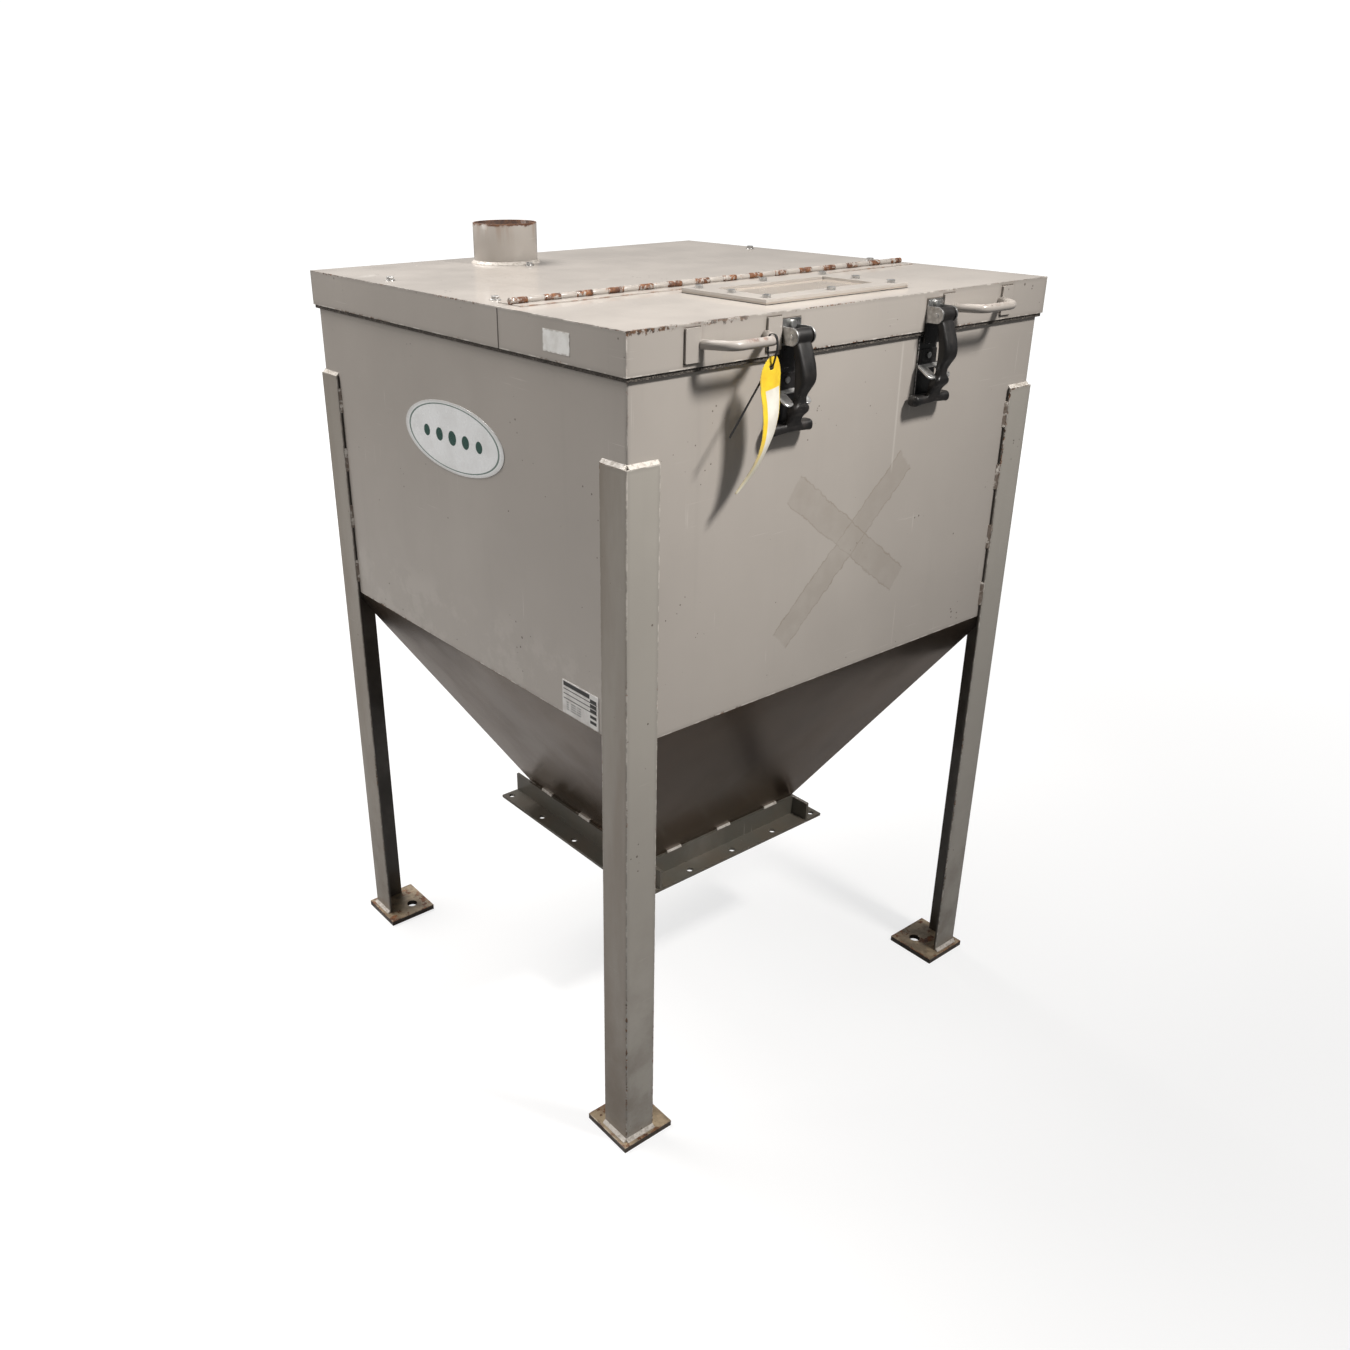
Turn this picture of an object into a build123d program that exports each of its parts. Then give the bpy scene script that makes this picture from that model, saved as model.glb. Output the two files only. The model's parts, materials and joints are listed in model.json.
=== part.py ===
from build123d import *
import os
from math import atan2, cos, degrees, radians, sin

os.makedirs("parts", exist_ok=True)

# A free-standing hopper bin on four angle legs. The origin is on the floor under the tank's
# centre, +Z is up, and the latches and handles are on the -Y side. All sizes are millimetres.

# ---- driving dimensions ----
tank_width = 762.0
tank_depth = 762.0
tank_bottom = 664.0
tank_height = 507.0
sheet = 2.0
tank_corner_radius = 3.0
rim_fold = 38.0

gasket_thickness = 3.0
gasket_width = 34.0
skirt_height = 50.0
skirt_gap = 4.0
front_lid_depth = 253.0
seam_gap = 1.0
seal_drop = 5.0
seal_height = 16.0
seal_clearance = 0.6

leg_size = 50.8
leg_thickness = 4.8
leg_top_below_rim = 148.0
foot_size = 88.9
foot_thickness = 9.5
foot_overhang = 9.9
foot_hole_diameter = 19.0
foot_hole_inset = 58.7
weld_leg = 5.0
stitch_length = 38.0
stitch_leg = 4.0
stitch_count = 4

outlet_size = 406.4
outlet_bottom = 259.4
outlet_angle_size = 38.1
outlet_angle_thickness = 4.8
outlet_hole_inset = 12.7
outlet_holes_per_side = 5
outlet_hole_diameter = 11.0
outlet_stitch_length = 30.0
outlet_stitch_pitch = 110.0

stub_diameter = 101.6
stub_wall = 3.0
stub_height = 60.7
stub_x = -92.0
stub_from_back = 97.5

hinge_end_margin = 18.0
knuckle_pitch = 25.4
knuckle_radius = 4.0
knuckle_gap = 0.4
hinge_pin_radius = 2.4
running_clearance = 0.05
leaf_width = 25.4
leaf_thickness = 1.5
knuckle_lift = 0.5

window_x = 2.0
window_from_front = 125.0
window_width = 266.0
window_depth = 156.0
window_bar = 32.0
window_frame_thickness = 3.2
pane_thickness = 2.4
window_gasket_thickness = 0.8

bolt_radius = 3.0
bolt_head_flats = 10.0
bolt_head_height = 4.0
washer_radius = 7.0
washer_thickness = 1.2
nut_flats = 10.0
nut_height = 5.0
bolt_past_nut = 2.0
cover_bolt_inset = 25.0
cover_bolt_from_seam = 50.0
cover_bolt_from_back = 197.0
stub_bolt_distance = 66.0

handle_x = 228.0
handle_span = 128.5
handle_pad_width = 23.0
handle_pad_height = 39.0
handle_pad_thickness = 3.0
handle_rod_radius = 5.75
handle_reach = 36.0
handle_bend = 18.0
handle_foot_inset = 13.0
handle_lead = 18.0
handle_below_top = 24.5

latch_x = 135.0
latch_pin_out = 17.0
latch_pin_above_skirt = 22.0
latch_pin_radius = 3.0
latch_ear_radius = 10.5
latch_ear_thickness = 2.2
latch_plate_thickness = 2.0
latch_plate_rise = 19.0
latch_plate_drop = 38.5
latch_bolt_rise = 12.5
strap_width = 26.0
strap_side_clearance = 0.4
strap_barrel_radius = 9.6
strap_neck_width = 12.0
strap_bulb_width = 29.0
strap_grip_width = 76.0
strap_grip_height = 12.0

keeper_width = 38.0
keeper_thickness = 2.5
keeper_below_seal = 1.0
keeper_length = 80.0
prong_width = 15.0
prong_length = 30.0
prong_tilt = 32.0
prong_thickness = 2.5
prong_slot = 16.0
prong_below_pin = 66.0
fork_height = 24.0
fork_margin = 2.0
fork_drop = 4.0
rivet_radius = 4.0
rivet_height = 2.0

badge_width = 256.0
badge_height = 98.0
plate_thickness = 0.8
badge_below_rim = 183.5
label_from_front = 129.5
label_width = 53.0
label_height = 26.0
label_below_top = 27.0
spec_from_front = 96.5
spec_width = 78.5
spec_height = 48.5
spec_above_bottom = 26.0

tag_x = -199.0
tag_set_back = 1.5
tag_width = 35.0
tag_length = 162.0
tag_thickness = 0.8
tag_hole_diameter = 7.0
tag_hole_below_top = 12.0
tag_hang = 30.0
tag_lean = 14.0
tie_width = 2.6
tie_thickness = 1.2
tie_clearance = 2.4
tag_slack = 0.5
tie_head = 5.0
tie_head_depth = 4.0
tie_tail_length = 100.0
tie_tail_lean = 38.0

# ---- derived places ----
half_w = tank_width / 2
half_d = tank_depth / 2
tank_top = tank_bottom + tank_height
lid_under = tank_top + gasket_thickness
lid_top = lid_under + sheet
lid_half_w = half_w + skirt_gap + sheet
lid_half_d = half_d + skirt_gap + sheet
skirt_bottom = lid_top - skirt_height
lid_front = -lid_half_d
outlet_half = outlet_size / 2
throat_half = outlet_half - outlet_angle_size
outlet_top = outlet_bottom + outlet_angle_size
leg_top = tank_top - leg_top_below_rim
seal_thickness = skirt_gap - seal_clearance
seam_y = lid_front + front_lid_depth
hinge_z = lid_top + knuckle_radius + knuckle_lift
knuckle_count = int((2 * lid_half_w - 2 * hinge_end_margin) / knuckle_pitch)
hinge_length = knuckle_count * knuckle_pitch
hinge_left = -hinge_length / 2
window_y = lid_front + window_from_front
stub_y = lid_half_d - stub_from_back
handle_z = lid_top - handle_below_top
grip_y = lid_front - handle_reach
latch_pin_y = lid_front - latch_pin_out
latch_pin_z = skirt_bottom + latch_pin_above_skirt
keeper_front = -half_d - keeper_thickness
keeper_top = skirt_bottom - seal_drop - keeper_below_seal
rim_bolts = [(x, y) for x in (cover_bolt_inset - half_w, half_w - cover_bolt_inset)
             for y in (seam_y + cover_bolt_from_seam, lid_half_d - cover_bolt_from_back)]
stub_bolt = (stub_x, stub_y - stub_bolt_distance)


def both_sides(x):
    return (-x, x)


def write(piece, name):
    piece.part.label = name
    export_step(piece.part, f"parts/{name}.step")


def ring_sketch(outer_x, outer_y, inner_x, inner_y):
    """A rectangular ring on the current sketch plane."""
    Rectangle(outer_x, outer_y)
    Rectangle(inner_x, inner_y, mode=Mode.SUBTRACT)


def bead(centre, first, second, leg, length, spread=90.0):
    """A fillet weld with its root's middle at centre and its legs along two directions.

    spread is the angle between the faces that it joins, from the first towards the second."""
    run = Vector(*first).cross(Vector(*second))
    with BuildSketch(Plane(origin=centre, x_dir=first, z_dir=run)) as section:
        Polygon((0, 0), (leg, 0), (leg * cos(radians(spread)), leg * sin(radians(spread))), align=None)
    extrude(section.sketch, amount=length / 2, both=True)


def hexagon(flats):
    RegularPolygon(flats / 2, 6, major_radius=False)


# ---- tank ----
with BuildPart() as tank_shell:
    with BuildSketch(Plane.XY.offset(tank_bottom)):
        RectangleRounded(tank_width, tank_depth, tank_corner_radius)
        RectangleRounded(tank_width - 2 * sheet, tank_depth - 2 * sheet,
                         tank_corner_radius - sheet / 2, mode=Mode.SUBTRACT)
    extrude(amount=tank_height)
    with BuildSketch(Plane.XY.offset(tank_top - sheet)):
        ring_sketch(tank_width - 2 * sheet, tank_depth - 2 * sheet,
                    tank_width - 2 * rim_fold, tank_depth - 2 * rim_fold)
    extrude(amount=sheet)
    with BuildSketch(Plane.XY.offset(tank_top - sheet)):
        with Locations(*rim_bolts):
            Circle(bolt_radius)
    extrude(amount=sheet, mode=Mode.SUBTRACT)
write(tank_shell, "tank_shell")

# ---- hopper: a square-to-square pyramid with a straight throat inside the outlet angles ----
hopper_height = tank_bottom - outlet_top
slope_x = atan2(hopper_height, half_w - throat_half)
slope_y = atan2(hopper_height, half_d - throat_half)
wall_x = sheet / sin(slope_x)
wall_y = sheet / sin(slope_y)
with BuildPart() as hopper_cone:
    with BuildSketch(Plane.XY.offset(tank_bottom)):
        Rectangle(tank_width, tank_depth)
    with BuildSketch(Plane.XY.offset(outlet_top)):
        Rectangle(2 * throat_half, 2 * throat_half)
    loft()
    with BuildSketch(Plane.XY.offset(outlet_bottom)):
        Rectangle(2 * throat_half, 2 * throat_half)
    extrude(amount=outlet_angle_size)
    with BuildSketch(Plane.XY.offset(tank_bottom)):
        Rectangle(tank_width - 2 * wall_x, tank_depth - 2 * wall_y)
    with BuildSketch(Plane.XY.offset(outlet_top)):
        Rectangle(2 * (throat_half - wall_x), 2 * (throat_half - wall_y))
    loft(mode=Mode.SUBTRACT)
    with BuildSketch(Plane.XY.offset(outlet_bottom)):
        Rectangle(2 * (throat_half - wall_x), 2 * (throat_half - wall_y))
    extrude(amount=outlet_angle_size, mode=Mode.SUBTRACT)
write(hopper_cone, "hopper_cone")


# ---- outlet flange: four angles, drilled flat legs outward, upright legs round the throat ----
def outlet_angle(length, axis_x):
    """An angle running along Y at +X, or along X at +Y, before its holes are drilled."""
    plane = Plane.XZ if axis_x else Plane.YZ
    with BuildSketch(plane) as profile:
        with BuildLine():
            Polyline((throat_half, outlet_bottom), (outlet_half, outlet_bottom),
                     (outlet_half, outlet_bottom + outlet_angle_thickness),
                     (throat_half + outlet_angle_thickness, outlet_bottom + outlet_angle_thickness),
                     (throat_half + outlet_angle_thickness, outlet_top),
                     (throat_half, outlet_top), close=True)
        make_face()
    extrude(profile.sketch, amount=length / 2, both=True)


hole_line = outlet_half - outlet_hole_inset
hole_pitch = 2 * hole_line / (outlet_holes_per_side - 1)
outlet_angles = {"outlet_angle_left": (True, -1), "outlet_angle_right": (True, 1),
                 "outlet_angle_front": (False, -1), "outlet_angle_back": (False, 1)}
for name, (axis_x, side) in outlet_angles.items():
    with BuildPart() as angle:
        outlet_angle(outlet_size if axis_x else 2 * throat_half, axis_x)
        # the corner holes are in the left and right angles
        columns, rows = (1, outlet_holes_per_side) if axis_x else (outlet_holes_per_side - 2, 1)
        with BuildSketch(Plane.XY.offset(outlet_bottom)):
            with Locations((hole_line, 0) if axis_x else (0, hole_line)):
                with GridLocations(hole_pitch, hole_pitch, columns, rows):
                    Circle(outlet_hole_diameter / 2)
        extrude(amount=outlet_angle_thickness, mode=Mode.SUBTRACT)
        if side < 0:
            mirror(about=Plane.YZ if axis_x else Plane.XZ, mode=Mode.REPLACE)
    write(angle, name)

with BuildPart() as outlet_welds:
    for spot in (-outlet_stitch_pitch, 0, outlet_stitch_pitch):
        for side in (-1, 1):
            bead((side * throat_half, spot, outlet_top), (side, 0, 0), (0, 0, 1),
                 outlet_angle_thickness, outlet_stitch_length, degrees(slope_x))
            bead((spot, side * throat_half, outlet_top), (0, side, 0), (0, 0, 1),
                 outlet_angle_thickness, outlet_stitch_length, degrees(slope_y))
write(outlet_welds, "outlet_welds")


# ---- legs and feet ----
foot_centre_x = half_w + leg_thickness + foot_overhang - foot_size / 2
foot_centre_y = half_d + leg_thickness + foot_overhang - foot_size / 2
foot_hole_offset = foot_size / 2 - foot_hole_inset
leg_corner_fillet = leg_thickness / 3
corners = {"front_left": (-1, -1), "front_right": (1, -1), "back_left": (-1, 1), "back_right": (1, 1)}
for name, (sx, sy) in corners.items():
    with BuildPart() as leg:
        with BuildSketch(Plane.XY.offset(foot_thickness)):
            with BuildLine():
                outer_x, outer_y = half_w + leg_thickness, half_d + leg_thickness
                Polyline((sx * outer_x, sy * outer_y), (sx * (outer_x - leg_size), sy * outer_y),
                         (sx * (outer_x - leg_size), sy * half_d), (sx * half_w, sy * half_d),
                         (sx * half_w, sy * (outer_y - leg_size)),
                         (sx * outer_x, sy * (outer_y - leg_size)), close=True)
            make_face()
        extrude(amount=leg_top - foot_thickness)
        fillet(leg.edges().filter_by(Axis.Z).sort_by(Axis((0, 0, 0), (sx, sy, 0)))[-1],
               leg_corner_fillet)
    write(leg, f"leg_{name}")
    with BuildPart() as foot:
        with BuildSketch(Plane.XY):
            with Locations((sx * foot_centre_x, sy * foot_centre_y)):
                Rectangle(foot_size, foot_size)
                with Locations((sx * foot_hole_offset, sy * foot_hole_offset)):
                    Circle(foot_hole_diameter / 2, mode=Mode.SUBTRACT)
        extrude(amount=foot_thickness)
    write(foot, f"foot_plate_{name}")

with BuildPart() as foot_welds:
    for sx, sy in corners.values():
        leg_x, leg_y = sx * (half_w + leg_thickness), sy * (half_d + leg_thickness)
        bead((leg_x - sx * leg_size / 2, leg_y, foot_thickness), (0, sy, 0), (0, 0, 1), weld_leg, leg_size)
        bead((leg_x, leg_y - sy * leg_size / 2, foot_thickness), (sx, 0, 0), (0, 0, 1), weld_leg, leg_size)
write(foot_welds, "foot_welds")

# a bead on each leg's top edge against the tank, and stitches down both of its toes
flange = leg_size - leg_thickness
stitch_step = (leg_top - tank_bottom - 2 * stitch_length) / (stitch_count - 1)
with BuildPart() as leg_welds:
    for sx, sy in corners.values():
        corner_x, corner_y = sx * half_w, sy * half_d
        bead((corner_x - sx * flange / 2, corner_y, leg_top), (0, sy, 0), (0, 0, 1), leg_thickness, flange)
        bead((corner_x, corner_y - sy * flange / 2, leg_top), (sx, 0, 0), (0, 0, 1), leg_thickness, flange)
        for n in range(stitch_count):
            middle = tank_bottom + stitch_length + n * stitch_step
            bead((corner_x - sx * flange, corner_y, middle), (-sx, 0, 0), (0, sy, 0), stitch_leg,
                 stitch_length)
            bead((corner_x, corner_y - sy * flange, middle), (0, -sy, 0), (sx, 0, 0), stitch_leg,
                 stitch_length)
write(leg_welds, "leg_welds")

# ---- lid gasket on the tank's rim, and the seals inside the skirts ----
with BuildPart() as lid_gasket:
    with BuildSketch(Plane.XY.offset(tank_top)):
        ring_sketch(tank_width - sheet, tank_depth - sheet,
                    tank_width - sheet - 2 * gasket_width, tank_depth - sheet - 2 * gasket_width)
        with Locations(*rim_bolts):
            Circle(bolt_radius, mode=Mode.SUBTRACT)
    extrude(amount=gasket_thickness)
write(lid_gasket, "lid_gasket")


# ---- the two halves of the top: a sheet with a skirt on three sides ----
def top_half(near_y, far_y):
    """The folded sheet from the seam at near_y to the outer skirt at far_y."""
    depth = abs(far_y - near_y)
    middle = (near_y + far_y) / 2
    toward_seam = 1 if near_y > far_y else -1
    with BuildSketch(Plane.XY.offset(skirt_bottom)) as outside:
        with Locations((0, middle)):
            Rectangle(2 * lid_half_w, depth)
    extrude(outside.sketch, amount=skirt_height)
    with BuildSketch(Plane.XY.offset(skirt_bottom)) as inside:
        with Locations((0, middle + toward_seam * sheet)):
            Rectangle(2 * (lid_half_w - sheet), depth)
    extrude(inside.sketch, amount=skirt_height - sheet, mode=Mode.SUBTRACT)


def skirt_seal(near_y, far_y):
    """A foam strip inside the skirt, round three sides, standing a little below its edge."""
    depth = abs(far_y - near_y)
    middle = (near_y + far_y) / 2
    toward_seam = 1 if near_y > far_y else -1
    inner = skirt_gap - seal_thickness
    with BuildSketch(Plane.XY.offset(skirt_bottom - seal_drop)) as strip:
        with Locations((0, middle + toward_seam * sheet / 2)):
            Rectangle(2 * (lid_half_w - sheet), depth - sheet)
        with Locations((0, middle + toward_seam * (sheet + seal_thickness) / 2)):
            Rectangle(2 * (half_w + inner), depth - sheet - seal_thickness, mode=Mode.SUBTRACT)
    extrude(strip.sketch, amount=seal_height)


rear_near = seam_y + seam_gap / 2
front_near = seam_y - seam_gap / 2
stub_inner = stub_diameter / 2 - stub_wall
cover_bolts = [*rim_bolts, stub_bolt]

with BuildPart() as rear_cover:
    top_half(rear_near, lid_half_d)
    with BuildSketch(Plane.XY.offset(lid_under)):
        with Locations((stub_x, stub_y)):
            Circle(stub_inner)
        with Locations(*cover_bolts):
            Circle(bolt_radius)
    extrude(amount=sheet, mode=Mode.SUBTRACT)
write(rear_cover, "rear_cover")

with BuildPart() as rear_seal:
    skirt_seal(rear_near, lid_half_d)
write(rear_seal, "rear_seal")

with BuildPart() as front_seal:
    skirt_seal(front_near, lid_front)
write(front_seal, "front_seal")

window_hole_x = window_width - 2 * window_bar
window_hole_y = window_depth - 2 * window_bar
window_bolt_x = (window_width - window_bar) / 2
window_bolt_y = (window_depth - window_bar) / 2
window_bolts = [(window_x + i * window_bolt_x, window_y + j * window_bolt_y)
                for i in (-1, 0, 1) for j in (-1, 0, 1) if (i, j) != (0, 0)]
window_top = lid_top + window_gasket_thickness + pane_thickness + window_frame_thickness


def window_ring(base, thickness, opening):
    """One layer of the window, drilled for its bolts."""
    with BuildSketch(Plane.XY.offset(base)) as layer:
        with Locations((window_x, window_y)):
            Rectangle(window_width, window_depth)
            if opening:
                Rectangle(window_hole_x, window_hole_y, mode=Mode.SUBTRACT)
        with Locations(*window_bolts):
            Circle(bolt_radius, mode=Mode.SUBTRACT)
    extrude(layer.sketch, amount=thickness)


with BuildPart() as front_lid:
    top_half(front_near, lid_front)
    with BuildSketch(Plane.XY.offset(lid_under)):
        with Locations((window_x, window_y)):
            Rectangle(window_hole_x, window_hole_y)
        with Locations(*window_bolts):
            Circle(bolt_radius)
    extrude(amount=sheet, mode=Mode.SUBTRACT)
    with BuildSketch(Plane.XZ.offset(-lid_front - sheet)):
        with Locations(*[(x, latch_pin_z + latch_bolt_rise) for x in both_sides(latch_x)]):
            Circle(bolt_radius)
    extrude(amount=sheet, mode=Mode.SUBTRACT)
write(front_lid, "front_lid")

with BuildPart() as window_gasket:
    window_ring(lid_top, window_gasket_thickness, True)
write(window_gasket, "window_gasket")

with BuildPart() as window_pane:
    window_ring(lid_top + window_gasket_thickness, pane_thickness, False)
write(window_pane, "window_pane")

with BuildPart() as window_frame:
    window_ring(window_top - window_frame_thickness, window_frame_thickness, True)
write(window_frame, "window_frame")


# ---- bolts down through the top, and the nuts under it ----
def bolt_down(spots, seat, tail):
    """Hexagon bolts whose heads sit at seat and whose shanks end at tail."""
    with BuildSketch(Plane.XY.offset(seat)) as heads:
        with Locations(*spots):
            hexagon(bolt_head_flats)
    extrude(heads.sketch, amount=bolt_head_height)
    with BuildSketch(Plane.XY.offset(tail)) as shanks:
        with Locations(*spots):
            Circle(bolt_radius)
    extrude(shanks.sketch, amount=seat - tail)


def nut_up(spots, under):
    """Hexagon nuts whose tops meet the sheet at under."""
    with BuildSketch(Plane.XY.offset(under - nut_height)) as nuts:
        with Locations(*spots):
            hexagon(nut_flats)
        with Locations(*spots):
            Circle(bolt_radius, mode=Mode.SUBTRACT)
    extrude(nuts.sketch, amount=nut_height)


bolt_tail = lid_under - nut_height - bolt_past_nut
with BuildPart() as window_bolt_set:
    bolt_down(window_bolts, window_top, bolt_tail)
write(window_bolt_set, "window_bolts")

with BuildPart() as window_nut_set:
    nut_up(window_bolts, lid_under)
write(window_nut_set, "window_nuts")

with BuildPart() as cover_washers:
    with BuildSketch(Plane.XY.offset(lid_top)):
        with Locations(*cover_bolts):
            Circle(washer_radius)
        with Locations(*cover_bolts):
            Circle(bolt_radius, mode=Mode.SUBTRACT)
    extrude(amount=washer_thickness)
write(cover_washers, "cover_washers")

rim_under = tank_top - sheet
with BuildPart() as cover_bolt_set:
    bolt_down(rim_bolts, lid_top + washer_thickness, rim_under - nut_height - bolt_past_nut)
    bolt_down([stub_bolt], lid_top + washer_thickness, bolt_tail)
write(cover_bolt_set, "cover_bolts")

with BuildPart() as cover_nut_set:
    nut_up(rim_bolts, rim_under)
    nut_up([stub_bolt], lid_under)
write(cover_nut_set, "cover_nuts")

# ---- inlet stub and its weld ----
with BuildPart() as inlet_stub:
    with BuildSketch(Plane.XY.offset(lid_top)):
        with Locations((stub_x, stub_y)):
            Circle(stub_diameter / 2)
            Circle(stub_inner, mode=Mode.SUBTRACT)
    extrude(amount=stub_height)
write(inlet_stub, "inlet_stub")

with BuildPart() as stub_weld:
    with BuildSketch(Plane(origin=(stub_x, stub_y, lid_top), x_dir=(1, 0, 0), z_dir=(0, -1, 0))):
        with Locations((stub_diameter / 2, 0)):
            Polygon((0, 0), (weld_leg, 0), (0, weld_leg), align=None)
    revolve(axis=Axis((stub_x, stub_y, lid_top), (0, 0, 1)))
write(stub_weld, "stub_weld")


# ---- piano hinge across the seam ----
def hinge_leaf(side, first):
    """The leaf on one side of the pin, with every second knuckle from the one numbered first."""
    inner = 2 * knuckle_radius + knuckle_lift - leaf_thickness
    with BuildSketch(Plane.XY.offset(lid_top)) as flat:
        with Locations((0, seam_y + side * (inner + leaf_width) / 2)):
            Rectangle(hinge_length, leaf_width - inner)
    extrude(flat.sketch, amount=leaf_thickness)
    for n in range(first, knuckle_count, 2):
        start = hinge_left + n * knuckle_pitch + knuckle_gap / 2
        with BuildSketch(Plane.YZ.offset(start)) as knuckle:
            with Locations((seam_y + side * inner / 2, lid_top + leaf_thickness / 2)):
                Rectangle(inner, leaf_thickness)
            with Locations((seam_y, hinge_z)):
                Circle(knuckle_radius)
        extrude(knuckle.sketch, amount=knuckle_pitch - knuckle_gap)
    with BuildSketch(Plane.YZ.offset(hinge_left)) as bore:
        with Locations((seam_y, hinge_z)):
            Circle(hinge_pin_radius + running_clearance)
    extrude(bore.sketch, amount=hinge_length, mode=Mode.SUBTRACT)


with BuildPart() as hinge_rear_leaf:
    hinge_leaf(1, 0)
write(hinge_rear_leaf, "hinge_rear_leaf")

with BuildPart() as hinge_front_leaf:
    hinge_leaf(-1, 1)
write(hinge_front_leaf, "hinge_front_leaf")

with BuildPart() as hinge_pin:
    with BuildSketch(Plane.YZ.offset(hinge_left)):
        with Locations((seam_y, hinge_z)):
            Circle(hinge_pin_radius)
    extrude(amount=hinge_length)
write(hinge_pin, "hinge_pin")

# ---- pull handles: a bent rod between two pads on the lid's front skirt ----
for name, side in (("handle_left", -1), ("handle_right", 1)):
    pad_xs = [side * handle_x - handle_span / 2, side * handle_x + handle_span / 2]
    foot_xs = [pad_xs[0] + handle_foot_inset, pad_xs[1] - handle_foot_inset]
    foot_y = lid_front - handle_pad_thickness / 2
    with BuildPart() as handle:
        with BuildLine():
            FilletPolyline((foot_xs[0], foot_y, handle_z), (foot_xs[0] + handle_lead, grip_y, handle_z),
                           (foot_xs[1] - handle_lead, grip_y, handle_z), (foot_xs[1], foot_y, handle_z),
                           radius=handle_bend)
        with BuildSketch(Plane(origin=(foot_xs[0], foot_y, handle_z),
                               z_dir=(handle_lead, grip_y - foot_y, 0))):
            Circle(handle_rod_radius)
        sweep()
        with BuildSketch(Plane.XZ.offset(-lid_front)):
            with Locations(*[(x, handle_z) for x in pad_xs]):
                RectangleRounded(handle_pad_width, handle_pad_height, 1.5)
        extrude(amount=handle_pad_thickness)
        split(bisect_by=Plane.XZ.offset(-lid_front), keep=Keep.TOP)
    write(handle, name)

# ---- latch brackets: a plate on the skirt, with two ears that carry the pin ----
ear_inner = strap_width / 2 + strap_side_clearance
ear_outer = ear_inner + latch_ear_thickness


def latch_plate(centre_x):
    with BuildSketch(Plane.XZ.offset(-lid_front)) as plate:
        with Locations((centre_x, latch_pin_z + (latch_plate_rise - latch_plate_drop) / 2)):
            Rectangle(2 * ear_outer, latch_plate_rise + latch_plate_drop)
        with Locations((centre_x, latch_pin_z + latch_bolt_rise)):
            Circle(bolt_radius, mode=Mode.SUBTRACT)
    extrude(plate.sketch, amount=latch_plate_thickness)


def latch_ear(start_x):
    with BuildSketch(Plane.YZ.offset(start_x)) as ear:
        with Locations(((lid_front + latch_pin_y) / 2, latch_pin_z)):
            Rectangle(latch_pin_out, 2 * latch_ear_radius)
        with Locations((latch_pin_y, latch_pin_z)):
            Circle(latch_ear_radius)
        with Locations((latch_pin_y, latch_pin_z)):
            Circle(latch_pin_radius, mode=Mode.SUBTRACT)
    extrude(ear.sketch, amount=latch_ear_thickness)


neck_top = prong_below_pin
neck_end = neck_top + 14
grip_top = neck_end + 22
# the strap's side view, as offsets from the pin: its back, from the barrel down to the grip,
# and its front, from the grip up over the outward bow
strap_back = [(4, -4), (0, -22), (-6, -42), (-4, -60), (2, -74), (6, -90), (10, -100), (8, -111)]
strap_front = [(-2, -114), (-1, -96), (-8, -84), (-12, -72), (-17, -58), (-20.5, -40), (-17, -18),
               (-9.5, -1)]

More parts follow.
